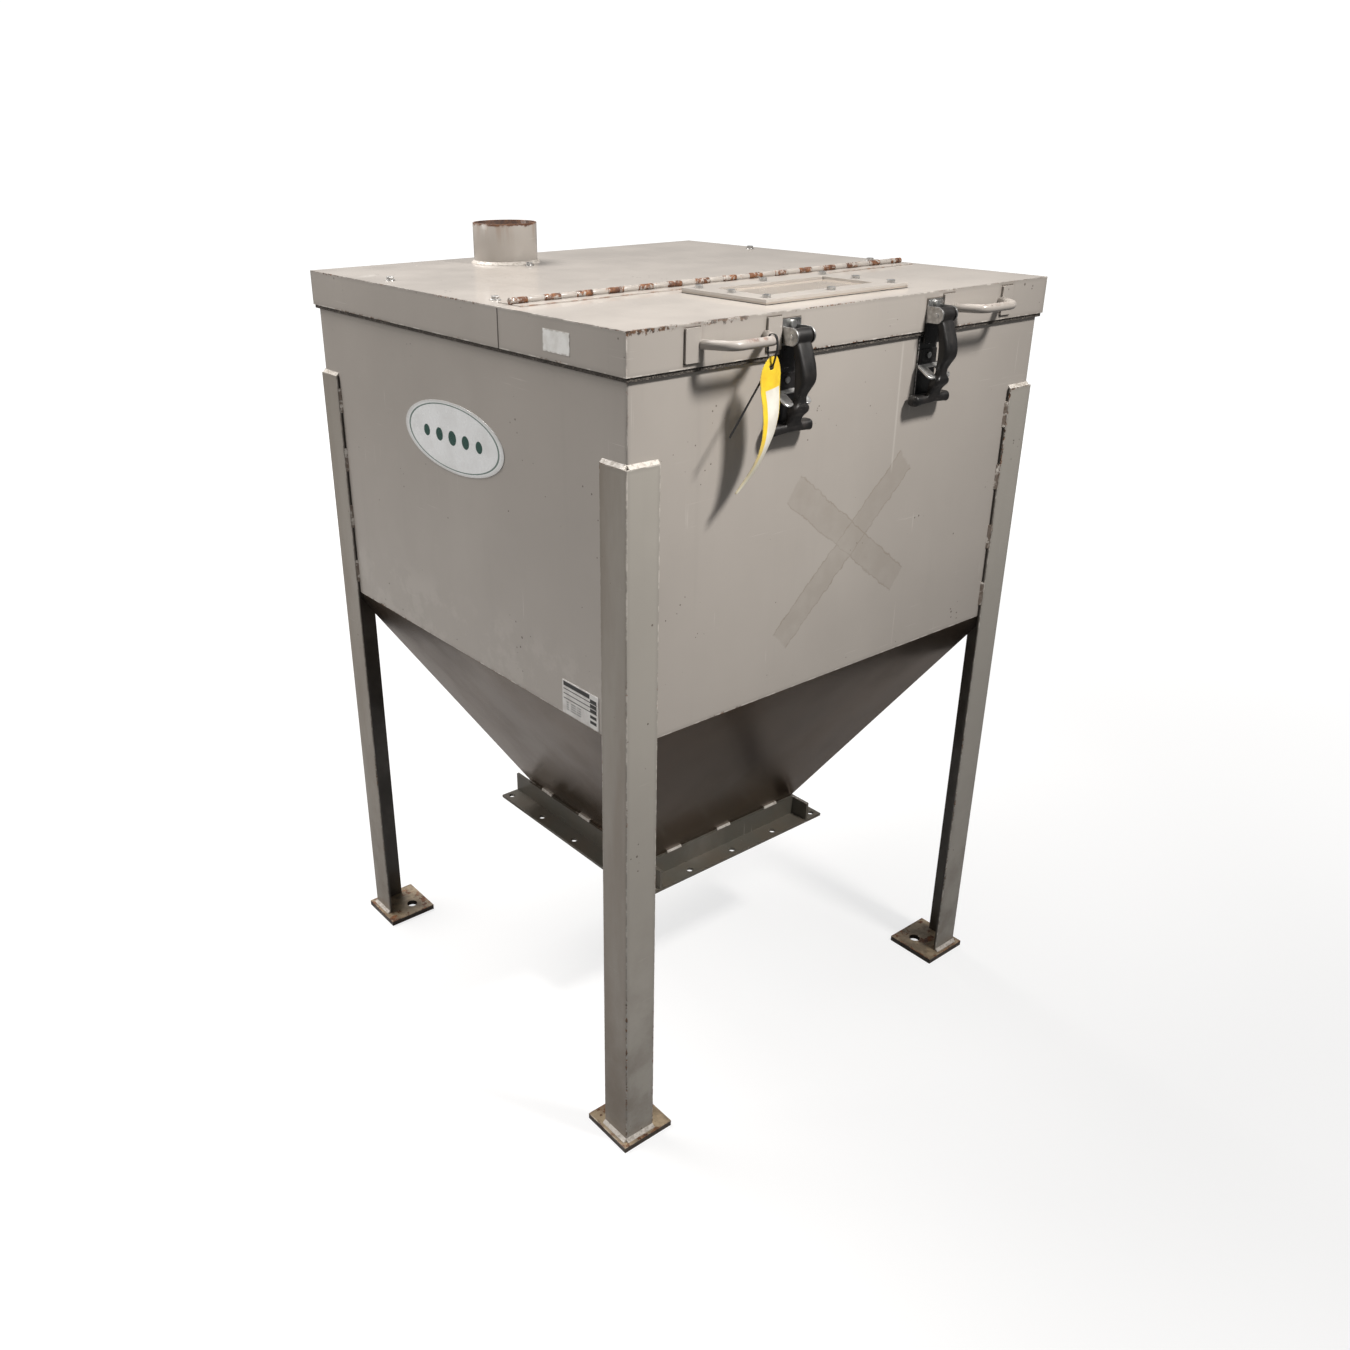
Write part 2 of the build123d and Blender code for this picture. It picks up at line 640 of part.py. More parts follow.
for name, side in (("left", -1), ("right", 1)):
    centre = side * latch_x
    with BuildPart() as bracket:
        latch_plate(centre)
        latch_ear(centre - ear_outer)
        latch_ear(centre + ear_inner)
    write(bracket, f"latch_bracket_{name}")

    with BuildPart() as strap:
        with BuildSketch(Plane.YZ.offset(centre)):
            with BuildLine():
                back = Spline(*[(latch_pin_y + y, latch_pin_z + z) for y, z in strap_back])
                front = Spline(*[(latch_pin_y + y, latch_pin_z + z) for y, z in strap_front])
                Line(back @ 1, front @ 0)
                Line(front @ 1, back @ 0)
            make_face()
            with Locations((latch_pin_y, latch_pin_z)):
                Circle(strap_barrel_radius)
        extrude(amount=strap_grip_width / 2, both=True)
        with BuildSketch(Plane.XZ.offset(-latch_pin_y - strap_grip_width)):
            with BuildLine():
                # half widths down the strap, as (half width, distance below the pin)
                half = [(strap_width / 2, -strap_barrel_radius - 1), (strap_width / 2, neck_top - 6),
                        (strap_neck_width / 2, neck_top), (strap_neck_width / 2, neck_end),
                        (strap_bulb_width / 2, neck_end + 4), (strap_bulb_width / 2, neck_end + 10),
                        (strap_neck_width, grip_top - 4), (strap_grip_width / 2, grip_top),
                        (strap_grip_width / 2, grip_top + strap_grip_height)]
                right = [(centre + x, latch_pin_z - drop) for x, drop in half]
                left = [(centre - x, latch_pin_z - drop) for x, drop in reversed(half)]
                Polyline(*right, *left, close=True)
            make_face()
        extrude(amount=2 * strap_grip_width, mode=Mode.INTERSECT)
        with BuildSketch(Plane.YZ.offset(centre - strap_width)):
            with Locations((latch_pin_y, latch_pin_z)):
                Circle(latch_pin_radius + running_clearance)
        extrude(amount=2 * strap_width, mode=Mode.SUBTRACT)
    write(strap, f"latch_strap_{name}")

    # keeper: a black plate on the tank, and a zinc fork that the strap's neck drops into
    prong_z = latch_pin_z - prong_below_pin
    with BuildPart() as keeper_plate:
        with BuildSketch(Plane.XZ.offset(half_d)):
            with Locations((centre, keeper_top - keeper_length / 2)):
                RectangleRounded(keeper_width, keeper_length, 2)
        extrude(amount=keeper_thickness)
    write(keeper_plate, f"keeper_plate_{name}")

    with BuildPart() as keeper_fork:
        with BuildSketch(Plane.XZ.offset(-keeper_front)):
            with Locations((centre, prong_z - fork_drop + fork_height / 2)):
                Rectangle(keeper_width - 2 * fork_margin, fork_height)
        extrude(amount=prong_thickness)
        prong_plane = Plane(origin=(centre, keeper_front, prong_z), x_dir=(1, 0, 0),
                            z_dir=(0, -sin(radians(prong_tilt)), cos(radians(prong_tilt))))
        with BuildSketch(prong_plane):
            for x in both_sides((prong_slot + prong_width) / 2):
                with Locations((x, -prong_length / 2)):
                    RectangleRounded(prong_width, prong_length, prong_width / 2 - 0.1)
            with Locations((0, -fork_drop)):
                Rectangle(keeper_width - 2 * fork_margin, 2 * fork_drop)
        extrude(amount=prong_thickness)
        split(bisect_by=Plane.XZ.offset(-keeper_front), keep=Keep.TOP)
    write(keeper_fork, f"keeper_fork_{name}")

with BuildPart() as latch_pins:
    for x in both_sides(latch_x):
        with BuildSketch(Plane.YZ.offset(x - ear_outer - 1.0)):
            with Locations((latch_pin_y, latch_pin_z)):
                Circle(latch_pin_radius)
        extrude(amount=2 * (ear_outer + 1.0))
write(latch_pins, "latch_pins")


def bolt_forward(spots, seat, depth):
    """Pan heads that stand forward of seat, a distance in front of the origin, and their shanks."""
    with BuildSketch(Plane.XZ.offset(seat)) as heads:
        with Locations(*spots):
            Circle(bolt_head_flats / 2)
    extrude(heads.sketch, amount=bolt_head_height)
    with BuildSketch(Plane.XZ.offset(seat - depth)) as shanks:
        with Locations(*spots):
            Circle(bolt_radius)
    extrude(shanks.sketch, amount=depth)


with BuildPart() as latch_bolts:
    bolt_forward([(x, latch_pin_z + latch_bolt_rise) for x in both_sides(latch_x)],
                 -lid_front + latch_plate_thickness, latch_plate_thickness + sheet)
write(latch_bolts, "latch_bolts")

with BuildPart() as keeper_rivets:
    # one through the fork and the plate, one through the plate alone
    for z, seat in ((prong_z - fork_drop + fork_height - 2 * rivet_radius, -keeper_front + prong_thickness),
                    (keeper_top - 2 * rivet_radius, -keeper_front)):
        with BuildSketch(Plane.XZ.offset(seat)):
            with Locations(*[(x, z) for x in both_sides(latch_x)]):
                Circle(rivet_radius)
        extrude(amount=rivet_height)
write(keeper_rivets, "keeper_rivets")

# ---- plates and labels on the left side ----
left_wall = Plane(origin=(-half_w, 0, 0), x_dir=(0, -1, 0), z_dir=(-1, 0, 0))
left_skirt = Plane(origin=(-lid_half_w, 0, 0), x_dir=(0, -1, 0), z_dir=(-1, 0, 0))

with BuildPart() as oval_badge:
    with BuildSketch(left_wall):
        with Locations((0, tank_top - badge_below_rim)):
            Ellipse(badge_width / 2, badge_height / 2)
    extrude(amount=plate_thickness)
write(oval_badge, "oval_badge")

with BuildPart() as lid_label:
    with BuildSketch(left_skirt):
        with Locations((-lid_front - label_from_front, lid_top - label_below_top)):
            Rectangle(label_width, label_height)
    extrude(amount=plate_thickness / 2)
write(lid_label, "lid_label")

with BuildPart() as spec_plate:
    with BuildSketch(left_wall):
        with Locations((half_d - spec_from_front, tank_bottom + spec_above_bottom)):
            RectangleRounded(spec_width, spec_height, 1.5)
    extrude(amount=plate_thickness)
write(spec_plate, "spec_plate")

# ---- inventory tag on a cable tie, hanging from the left handle's grip ----
loop_inner = handle_rod_radius + tie_clearance
tag_y = grip_y + tag_set_back
tag_hole_z = handle_z - tag_hang
tag_top_z = tag_hole_z + tag_hole_below_top
loop_low = tag_hole_z - tag_hole_diameter / 2 + tie_thickness + tag_slack
loop_half = tag_thickness / 2 + tag_slack


def loop_outline(extra):
    """Half-round over the rod, closing in to a narrow end inside the tag's hole."""
    with BuildLine() as outline:
        over = CenterArc((tag_y, handle_z), loop_inner + extra, 0, 180)
        Polyline(over @ 1, (tag_y - loop_half - extra, loop_low - extra),
                 (tag_y + loop_half + extra, loop_low - extra), over @ 0)
    return outline.line


with BuildPart() as tag_tie:
    with BuildSketch(Plane.YZ.offset(tag_x - tie_width / 2)):
        make_face(loop_outline(tie_thickness))
        make_face(loop_outline(0), mode=Mode.SUBTRACT)
    extrude(amount=tie_width)
    head_y = tag_y + loop_half
    head_z = tag_hole_z + tie_head
    with BuildSketch(Plane.XZ.offset(-head_y)):
        with Locations((tag_x, head_z)):
            Rectangle(tie_head, tie_head)
    extrude(amount=-tie_head_depth)
    tail_middle = tie_tail_length / 2
    with BuildSketch(Plane.XZ.offset(-head_y)):
        with Locations(Location((tag_x - tail_middle * sin(radians(tie_tail_lean)),
                                 head_z - tail_middle * cos(radians(tie_tail_lean))), -tie_tail_lean)):
            Rectangle(tie_width, tie_tail_length)
    extrude(amount=-tie_thickness)
write(tag_tie, "tag_tie")

with BuildPart() as inventory_tag:
    with BuildSketch(Plane.XZ.offset(-tag_y - tag_thickness / 2)):
        with BuildLine():
            lean = tag_length * sin(radians(tag_lean))
            tip_z = tag_top_z - tag_length * cos(radians(tag_lean))
            shoulder_z = tag_top_z - tag_width / 2
            waist_z = tag_top_z - tag_length / 2
            Polyline((tag_x - tag_width / 6, tag_top_z), (tag_x + tag_width / 6, tag_top_z),
                     (tag_x + tag_width / 2, shoulder_z), (tag_x + tag_width / 2, waist_z),
                     (tag_x - lean + tag_width / 8, tip_z), (tag_x - lean - tag_width / 8, tip_z),
                     (tag_x - tag_width / 2, waist_z), (tag_x - tag_width / 2, shoulder_z),
                     close=True)
        make_face()
        with Locations((tag_x, tag_hole_z)):
            Circle(tag_hole_diameter / 2, mode=Mode.SUBTRACT)
    extrude(amount=tag_thickness)
write(inventory_tag, "inventory_tag")
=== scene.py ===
import json
from math import cos, pi, radians, sin

import bmesh
import bpy
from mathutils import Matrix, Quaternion, Vector


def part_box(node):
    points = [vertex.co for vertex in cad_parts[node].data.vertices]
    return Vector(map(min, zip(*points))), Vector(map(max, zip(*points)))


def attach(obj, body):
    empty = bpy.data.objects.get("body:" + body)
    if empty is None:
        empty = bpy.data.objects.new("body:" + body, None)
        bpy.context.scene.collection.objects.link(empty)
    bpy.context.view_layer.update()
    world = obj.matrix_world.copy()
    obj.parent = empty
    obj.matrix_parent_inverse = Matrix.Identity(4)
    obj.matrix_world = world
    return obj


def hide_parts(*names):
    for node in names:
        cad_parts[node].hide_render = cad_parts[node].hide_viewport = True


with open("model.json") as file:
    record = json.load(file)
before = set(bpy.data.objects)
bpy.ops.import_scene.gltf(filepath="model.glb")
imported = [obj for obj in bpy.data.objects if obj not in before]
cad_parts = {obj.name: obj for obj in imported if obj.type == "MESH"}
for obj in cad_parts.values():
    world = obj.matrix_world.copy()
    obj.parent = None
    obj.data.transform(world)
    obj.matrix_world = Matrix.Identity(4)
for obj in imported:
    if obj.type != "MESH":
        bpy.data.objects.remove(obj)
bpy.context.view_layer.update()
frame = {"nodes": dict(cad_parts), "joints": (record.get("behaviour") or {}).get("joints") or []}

# All sizes are metres, in the frame's axes: +X right along the front, +Y to the back, +Z up.
scene = bpy.context.scene
nodes = frame["nodes"]
scene.view_settings.view_transform = "Standard"

# ---- places read from the frame ----
tank_low, tank_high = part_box("tank_shell")
hopper_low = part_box("hopper_cone")[0]
outlet_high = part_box("outlet_angle_left")[1]
rear_low, rear_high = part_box("rear_cover")
lid_low, lid_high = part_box("front_lid")
leg_low, leg_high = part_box("leg_back_right")
foot_low, foot_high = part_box("foot_plate_back_right")
stub_low, stub_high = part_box("inlet_stub")
badge_low, badge_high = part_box("oval_badge")
spec_low, spec_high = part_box("spec_plate")
label_low, label_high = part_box("lid_label")
hinge_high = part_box("hinge_pin")[1]
tag_low, tag_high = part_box("inventory_tag")
tag_pivot = next(Vector(joint["pos_m"]) for joint in frame["joints"] if joint["name"] == "tag_swing")


def middle(corners):
    return (corners[0] + corners[1]) / 2


# ---- camera ----
camera_place = Vector((-1.21017, -1.41139, 1.3786))
camera_turn, camera_tilt, camera_roll = radians(38.01), radians(-24.85), radians(0.32)
camera = bpy.data.objects.new("camera", bpy.data.cameras.new("camera"))
scene.collection.objects.link(camera)
scene.camera = camera
level = cos(camera_tilt)
look = Vector((level * sin(camera_turn), level * cos(camera_turn), sin(camera_tilt)))
camera.location = camera_place
camera.rotation_mode = "QUATERNION"
camera.rotation_quaternion = Quaternion(look, camera_roll) @ look.to_track_quat("-Z", "Y")
camera.data.sensor_width = 36.0
camera.data.lens = 31.85
camera.data.shift_x = 0.0470
camera.data.shift_y = 0.0008
camera.data.clip_end = 200.0


# ---- node trees ----
class Graph:
    """One material's node tree. Values are numbers, tuples or output sockets."""

    def __init__(self, name):
        self.material = bpy.data.materials.new(name)
        self.material.use_nodes = True
        self.tree = self.material.node_tree
        self.tree.nodes.clear()
        self.shader = self.tree.nodes.new("ShaderNodeBsdfPrincipled")
        self.output = self.tree.nodes.new("ShaderNodeOutputMaterial")
        self.tree.links.new(self.shader.outputs[0], self.output.inputs["Surface"])
        self.point = self.tree.nodes.new("ShaderNodeTexCoord").outputs["Object"]
        self.x, self.y, self.z = self.add("ShaderNodeSeparateXYZ", self.point).outputs

    def plug(self, socket, value):
        if isinstance(value, bpy.types.NodeSocket):
            self.tree.links.new(value, socket)
        else:
            if socket.type == "RGBA" and len(value) == 3:
                value = (*value, 1.0)
            socket.default_value = value

    def add(self, kind, *values, **settings):
        node = self.tree.nodes.new(kind)
        for key, value in settings.items():
            setattr(node, key, value)
        for socket, value in zip(node.inputs, values):
            if value is not None:
                self.plug(socket, value)
        return node

    def set(self, **values):
        """Sets the shader's sockets, with _ for a space in their names."""
        for key, value in values.items():
            self.plug(self.shader.inputs[key.replace("_", " ")], value)

    def math(self, operation, *values):
        return self.add("ShaderNodeMath", *values, operation=operation).outputs[0]

    def sum(self, *values):
        total = values[0]
        for value in values[1:]:
            total = self.math("ADD", total, value)
        return total

    def times(self, *values):
        total = values[0]
        for value in values[1:]:
            total = self.math("MULTIPLY", total, value)
        return total

    def near(self, value, target):
        """How far value is from target."""
        return self.math("ABSOLUTE", self.math("SUBTRACT", value, target))

    def length(self, a, b):
        """The length of the vector (a, b)."""
        return self.math("SQRT", self.sum(self.math("POWER", a, 2.0), self.math("POWER", b, 2.0)))

    def apart(self, a, a_target, b, b_target):
        """How far the point (a, b) is from its target."""
        return self.length(self.math("SUBTRACT", a, a_target), self.math("SUBTRACT", b, b_target))

    def wander(self, scale, detail, rough, amount):
        """An uneven offset about zero, that makes an edge ragged."""
        return self.times(self.math("SUBTRACT", self.noise(scale, detail, rough), 0.5), amount)

    def ramp(self, value, low, high, out_low=0.0, out_high=1.0):
        """A soft step, from out_low at low to out_high at high."""
        node = self.add("ShaderNodeMapRange", value, low, high, out_low, out_high, clamp=True,
                        interpolation_type="SMOOTHSTEP")
        return node.outputs[0]

    def band(self, value, centre, half, soft):
        """1 within half of centre, falling to 0 over soft."""
        return self.ramp(self.near(value, centre), half, half + soft, 1.0, 0.0)

    def mix(self, factor, first, second):
        node = self.tree.nodes.new("ShaderNodeMix")
        node.data_type = "RGBA"
        self.plug(node.inputs[0], factor)
        self.plug(node.inputs[6], first)
        self.plug(node.inputs[7], second)
        return node.outputs[2]

    def stretch(self, x, y, z, shift=0.0):
        node = self.add("ShaderNodeMapping", self.point)
        node.inputs["Scale"].default_value = (x, y, z)
        node.inputs["Location"].default_value = (shift, shift * 0.7, shift * 0.4)
        return node.outputs[0]

    def noise(self, scale, detail=4.0, rough=0.55, at=None, shift=0.0):
        at = at or (self.stretch(1, 1, 1, shift) if shift else self.point)
        node = self.add("ShaderNodeTexNoise")
        self.plug(node.inputs["Vector"], at)
        for key, value in (("Scale", scale), ("Detail", detail), ("Roughness", rough)):
            node.inputs[key].default_value = value
        return node.outputs[0]

    def cells(self, scale):
        node = self.add("ShaderNodeTexVoronoi", feature="F1")
        self.plug(node.inputs["Vector"], self.point)
        node.inputs["Scale"].default_value = scale
        return node.outputs["Distance"]

    def bump(self, height, distance, strength=1.0, under=None):
        node = self.add("ShaderNodeBump")
        self.plug(node.inputs["Height"], height)
        node.inputs["Distance"].default_value = distance
        node.inputs["Strength"].default_value = strength
        if under:
            self.plug(node.inputs["Normal"], under)
        return node.outputs[0]

    def edge(self, low, high):
        """Distance to the nearest edge of a box that is mirrored about X = 0 and Y = 0, on its faces."""
        out_x, out_y = self.math("ABSOLUTE", self.x), self.math("ABSOLUTE", self.y)
        from_x = self.math("MINIMUM", self.near(out_x, low[0]), self.near(out_x, high[0]))
        from_y = self.math("MINIMUM", self.near(out_y, low[1]), self.near(out_y, high[1]))
        from_z = self.math("MINIMUM", self.near(self.z, low[2]), self.near(self.z, high[2]))
        return self.median(from_x, from_y, from_z)

    def median(self, a, b, c):
        """The middle one of three values."""
        low = self.math("MINIMUM", a, b)
        high = self.math("MAXIMUM", a, b)
        return self.math("MAXIMUM", low, self.math("MINIMUM", high, c))


def rust_colour(g, scale=60.0):
    blotch = g.noise(scale, 6.0, 0.65)
    fine = g.noise(scale * 9, 3.0, 0.6)
    base = g.mix(g.ramp(blotch, 0.35, 0.65), (0.085, 0.028, 0.012), (0.30, 0.115, 0.035))
    return g.mix(g.ramp(fine, 0.4, 0.75), base, (0.035, 0.014, 0.009))


PAINT = (0.405, 0.372, 0.338)
DUST = (0.47, 0.44, 0.40)
SCRATCHED = (0.62, 0.59, 0.55)
RUBBED = (0.66, 0.62, 0.57)
DIRT = (0.08, 0.062, 0.05)
GRIME = (0.13, 0.10, 0.072)
# painted shade in the gaps beside the legs
GAP_SHADE = (0.030, 0.024, 0.020)
# no edge: a box side that the part hasn't got is put out of reach
FAR = 9


def shade(colour, amount):
    return tuple(c * amount for c in colour)


def paint(name, low=None, high=None, wear=1.0, chips=0.002, grime=None, extra=None, tone=PAINT):
    """Greige semi-gloss enamel. low and high are the mirrored box whose edges are worn."""
    g = Graph(name)
    cloud = g.noise(2.6, 5.0, 0.55)
    colour = g.mix(g.ramp(cloud, 0.3, 0.7), shade(tone, 0.955), shade(tone, 1.04))
    # runs and wiped streaks down the walls
    streak = g.noise(1.0, 5.0, 0.6, at=g.stretch(34, 34, 1.5))
    colour = g.mix(g.ramp(streak, 0.56, 0.80, 0.0, 0.22), colour, shade(tone, 0.80))
    smear = g.noise(1.0, 4.0, 0.6, at=g.stretch(5, 5, 2.2, 3.7))
    colour = g.mix(g.ramp(smear, 0.52, 0.78, 0.0, 0.28), colour, DUST)
    # fine scratches, in two directions
    scratch_a = g.noise(1.0, 2.0, 0.5, at=g.stretch(9, 9, 420, 1.3))
    scratch_b = g.noise(1.0, 2.0, 0.5, at=g.stretch(300, 300, 7, 5.1))
    patch = g.ramp(g.noise(7.0, 3.0, 0.5, shift=9.0), 0.52, 0.66)
    scratch = g.times(g.math("MAXIMUM", g.ramp(scratch_a, 0.69, 0.74), g.ramp(scratch_b, 0.70, 0.75)), patch)
    colour = g.mix(g.times(scratch, 0.5 * wear), colour, SCRATCHED)
    # specks of dirt
    speck_size = g.ramp(g.noise(16.0, 2.0, 0.5, shift=4.0), 0.5, 0.75, 0.0, 0.16)
    speck = g.math("LESS_THAN", g.cells(85.0), speck_size)
    colour = g.mix(g.times(speck, 0.75 * wear), colour, DIRT)
    if grime:
        # dirt that gathers towards grime's second height
        patchy = g.ramp(g.noise(14.0, 6.0, 0.65, shift=2.0), 0.35, 0.7)
        colour = g.mix(g.times(g.ramp(g.z, *grime), patchy, 0.55), colour, GRIME)
    rough = g.ramp(g.noise(11.0, 5.0, 0.6, shift=6.0), 0.3, 0.7, 0.33, 0.47)
    chip = 0.0
    if low is not None:
        edge = g.edge(low, high)
        ragged = g.sum(edge, g.wander(240.0, 4.0, 0.6, 0.010))
        where = g.ramp(g.noise(5.0, 4.0, 0.6, shift=7.0), 0.50, 0.64)
        dirt_and_shade = g.ramp(edge, 0.0005, 0.007, 0.30, 0.0)
        colour = g.mix(g.times(dirt_and_shade, wear), colour, shade(tone, 0.62))
        uneven = g.ramp(g.noise(48.0, 4.0, 0.6, shift=1.0), 0.46, 0.6)
        rub = g.times(g.ramp(edge, 0.0006, 0.0022, 1.0, 0.0), uneven)
        colour = g.mix(g.times(rub, 0.75 * wear), colour, RUBBED)
        chip = g.times(g.ramp(ragged, chips * 0.55, chips, 1.0, 0.0), where)
        chip = g.times(chip, g.ramp(g.noise(120.0, 3.0, 0.6, shift=8.0), 0.44, 0.52))
        bare = g.mix(g.ramp(g.noise(300.0, 2.0), 0.4, 0.6), (0.045, 0.030, 0.022), (0.20, 0.085, 0.035))
        colour = g.mix(g.times(chip, wear), colour, bare)
        rough = g.sum(rough, g.times(chip, 0.3))
    if extra:
        colour, rough = extra(g, colour, rough)
    peel = g.bump(g.noise(420.0, 2.0, 0.5), 0.00012, 0.5)
    dent = g.bump(g.noise(3.2, 2.0, 0.4, shift=3.0), 0.004, 0.30, under=peel)
    normal = dent if low is None else g.bump(g.math("SUBTRACT", 1.0, chip), 0.0003, 0.8, under=dent)
    g.set(Base_Color=colour, Roughness=rough, Normal=normal, Metallic=0.0, IOR=1.5, Coat_Weight=0.45,
          Coat_Roughness=0.07)
    return g.material


# ---- painted pieces ----
# the ghost of crossed tape on the front wall: (start, end, half width), with its places as (x, z)
TAPES = (((-0.104, 0.949), (0.118, 0.778), 0.020), ((0.1135, 0.9525), (-0.115, 0.7426), 0.0185))
# pale runs on the front wall: (x, top, bottom)
RUNS = ((0.086, 1.105, 0.955), (0.112, 1.10, 1.03))


def tape_strip(g, start, end, half):
    """How much of a strip of tape is left, more at its rim."""
    run = Vector(end) - Vector(start)
    length = run.length
    run /= length
    from_x, from_z = g.math("SUBTRACT", g.x, start[0]), g.math("SUBTRACT", g.z, start[1])
    wobble = g.wander(70.0, 4.0, 0.6, 0.012)
    along = g.sum(g.times(from_x, run.x), g.times(from_z, run.y), wobble)
    across = g.sum(g.times(from_x, -run.y), g.times(from_z, run.x), wobble)
    strip = g.times(g.band(across, 0.0, half, 0.0016), g.band(along, length / 2, length / 2, 0.004))
    rim = g.band(g.near(across, 0.0), half, 0.0005, 0.0012)
    return g.math("ADD", g.times(strip, 0.5), g.times(strip, rim, 0.55))


def leg_gap_shade(g, value, low):
    """Painted shade: the dark line beside a leg's flange, on a wall, for the shadowed gap between flange and
    wall.
    """
    return g.band(g.math("ABSOLUTE", value), low - 0.0008, 0.0008, 0.0006)


def tank_marks(g, colour, rough):
    """The ghost of crossed tape, pale runs beside the latches, painted shade in the gaps beside the legs,
    and a scuff.
    """
    front = g.ramp(g.y, tank_low.y + 0.001, tank_low.y + 0.002, 1.0, 0.0)
    side = g.ramp(g.x, tank_low.x + 0.001, tank_low.x + 0.002, 1.0, 0.0)
    cross = g.math("MAXIMUM", *(tape_strip(g, *tape) for tape in TAPES))
    patchy = g.ramp(g.noise(22.0, 5.0, 0.6, shift=2.5), 0.30, 0.62, 0.45, 1.0)
    amount = g.times(cross, patchy, front)
    colour = g.mix(g.times(amount, 0.62), colour, (0.245, 0.208, 0.166))
    rough = g.sum(rough, g.times(amount, 0.16))
    for x, top, bottom in RUNS:
        run = g.times(g.band(g.x, x, 0.0009, 0.0016),
                      g.band(g.z, (top + bottom) / 2, (top - bottom) / 2, 0.02), front)
        colour = g.mix(g.times(run, 0.45), colour, (0.56, 0.53, 0.49))
    # painted shade: the shadowed gaps between the legs' flanges and the walls, below the legs' tops
    gap_shade = g.sum(g.times(leg_gap_shade(g, g.x, leg_low.x), front), g.times(leg_gap_shade(g, g.y, leg_low.y), side))
    colour = g.mix(g.times(gap_shade, g.ramp(g.z, leg_high.z, leg_high.z - 0.004), 0.9), colour, GAP_SHADE)
    scuff = g.times(side, g.band(g.z, 0.700, 0.030, 0.05),
                    g.ramp(g.noise(12.0, 5.0, 0.7, shift=5.0), 0.50, 0.60))
    colour = g.mix(g.times(scuff, 0.4), colour, (0.50, 0.47, 0.43))
    return colour, rough


tank_paint = paint("tank_paint", low=(FAR, FAR, tank_low.z), high=tuple(tank_high), chips=0.0016,
                   extra=tank_marks)


def lid_wear(g, colour, rough):
    """Chips near the lid's left front corner, its seam, and painted shade round the plates on its skirt."""
    top = lid_high.z
    edge = g.sum(g.near(g.y, lid_low.y), g.near(g.z, top))
    ragged = g.sum(edge, g.wander(190.0, 5.0, 0.65, 0.020))
    run = g.math("MAXIMUM", g.band(g.x, -0.352, 0.034, 0.008),
                 g.times(g.band(g.x, -0.245, 0.030, 0.02), 0.75))
    gone = g.times(g.ramp(ragged, 0.0030, 0.0046, 1.0, 0.0), run,
                   g.ramp(g.noise(95.0, 4.0, 0.6, shift=6.5), 0.42, 0.50))
    bare = g.mix(g.ramp(g.noise(260.0, 2.0), 0.4, 0.6), (0.035, 0.026, 0.021), (0.14, 0.07, 0.035))
    colour = g.mix(gone, colour, bare)
    rough = g.sum(rough, g.times(gone, 0.25))
    # the dark seam against the rear cover
    seam = g.times(g.ramp(g.near(g.y, lid_high.y), 0.0008, 0.0020, 1.0, 0.0),
                   g.ramp(g.z, top - 0.0010, top - 0.0020))
    colour = g.mix(g.times(seam, 0.9), colour, (0.030, 0.022, 0.018))
    # the handles' pads and the latches' brackets: (low x, high x, low z, high z)
    front = g.ramp(g.y, lid_low.y + 0.001, lid_low.y + 0.002, 1.0, 0.0)
    handle_low, handle_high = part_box("handle_right")
    bracket_low, bracket_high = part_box("latch_bracket_right")
    pad = 0.023
    plates = ((handle_low.x, handle_low.x + pad, handle_low.z, handle_high.z),
              (handle_high.x - pad, handle_high.x, handle_low.z, handle_high.z),
              (bracket_low.x, bracket_high.x, bracket_low.z, bracket_high.z))
    for x0, x1, z0, z1 in plates:
        out_x = g.math("SUBTRACT", g.near(g.math("ABSOLUTE", g.x), (x0 + x1) / 2), (x1 - x0) / 2)
        out_z = g.math("SUBTRACT", g.near(g.z, (z0 + z1) / 2), (z1 - z0) / 2)
        out = g.math("MAXIMUM", out_x, out_z)
        # painted shade: a dark line at each plate's rim and a soft darkening round it, where the plates
        # shade the skirt
        line = g.times(g.ramp(out, 0.0006, 0.0020, 1.0, 0.0), front)
        haze = g.times(g.ramp(out, 0.0, 0.010, 1.0, 0.0), g.ramp(g.noise(40.0, 4.0), 0.35, 0.65), front)
        colour = g.mix(g.times(line, 0.85), colour, (0.05, 0.038, 0.030))
        colour = g.mix(g.times(haze, 0.28), colour, (0.17, 0.14, 0.11))
    return colour, rough


lid_paint = paint("lid_paint", low=(FAR, abs(lid_high.y), lid_low.z),
                  high=(lid_high.x, abs(lid_low.y), lid_high.z),
                  chips=0.0012, extra=lid_wear)
cover_paint = paint("cover_paint", low=(FAR, FAR, rear_low.z), high=tuple(rear_high), chips=0.0018)


def leg_faces(g, colour, rough):
    """Painted shade: the legs' inner faces darkened almost to black and, less, the faces that look left and
    right, in streaks.
    """
    # painted shade in the recess between each leg's two flanges
    inside = g.times(g.ramp(g.math("ABSOLUTE", g.x), leg_high.x - 0.0022, leg_high.x - 0.0016, 1.0, 0.0),
                     g.ramp(g.math("ABSOLUTE", g.y), leg_high.y - 0.0022, leg_high.y - 0.0016, 1.0, 0.0))
    dirt_and_shade = g.ramp(g.noise(9.0, 5.0, 0.6, shift=4.4), 0.25, 0.6, 0.80, 0.96)
    colour = g.mix(g.times(inside, dirt_and_shade), colour, (0.040, 0.032, 0.025))
    # painted shade: the faces that look left and right made darker, for how the light falls on them
    flank = g.ramp(g.math("ABSOLUTE", g.x), leg_high.x - 0.0006, leg_high.x - 0.0002)
    side_shade = g.ramp(g.noise(1.0, 5.0, 0.6, at=g.stretch(14, 14, 3, 2.0)), 0.30, 0.70, 0.25, 0.62)
    colour = g.mix(g.times(flank, side_shade), colour, (0.175, 0.132, 0.094))
    return colour, rough


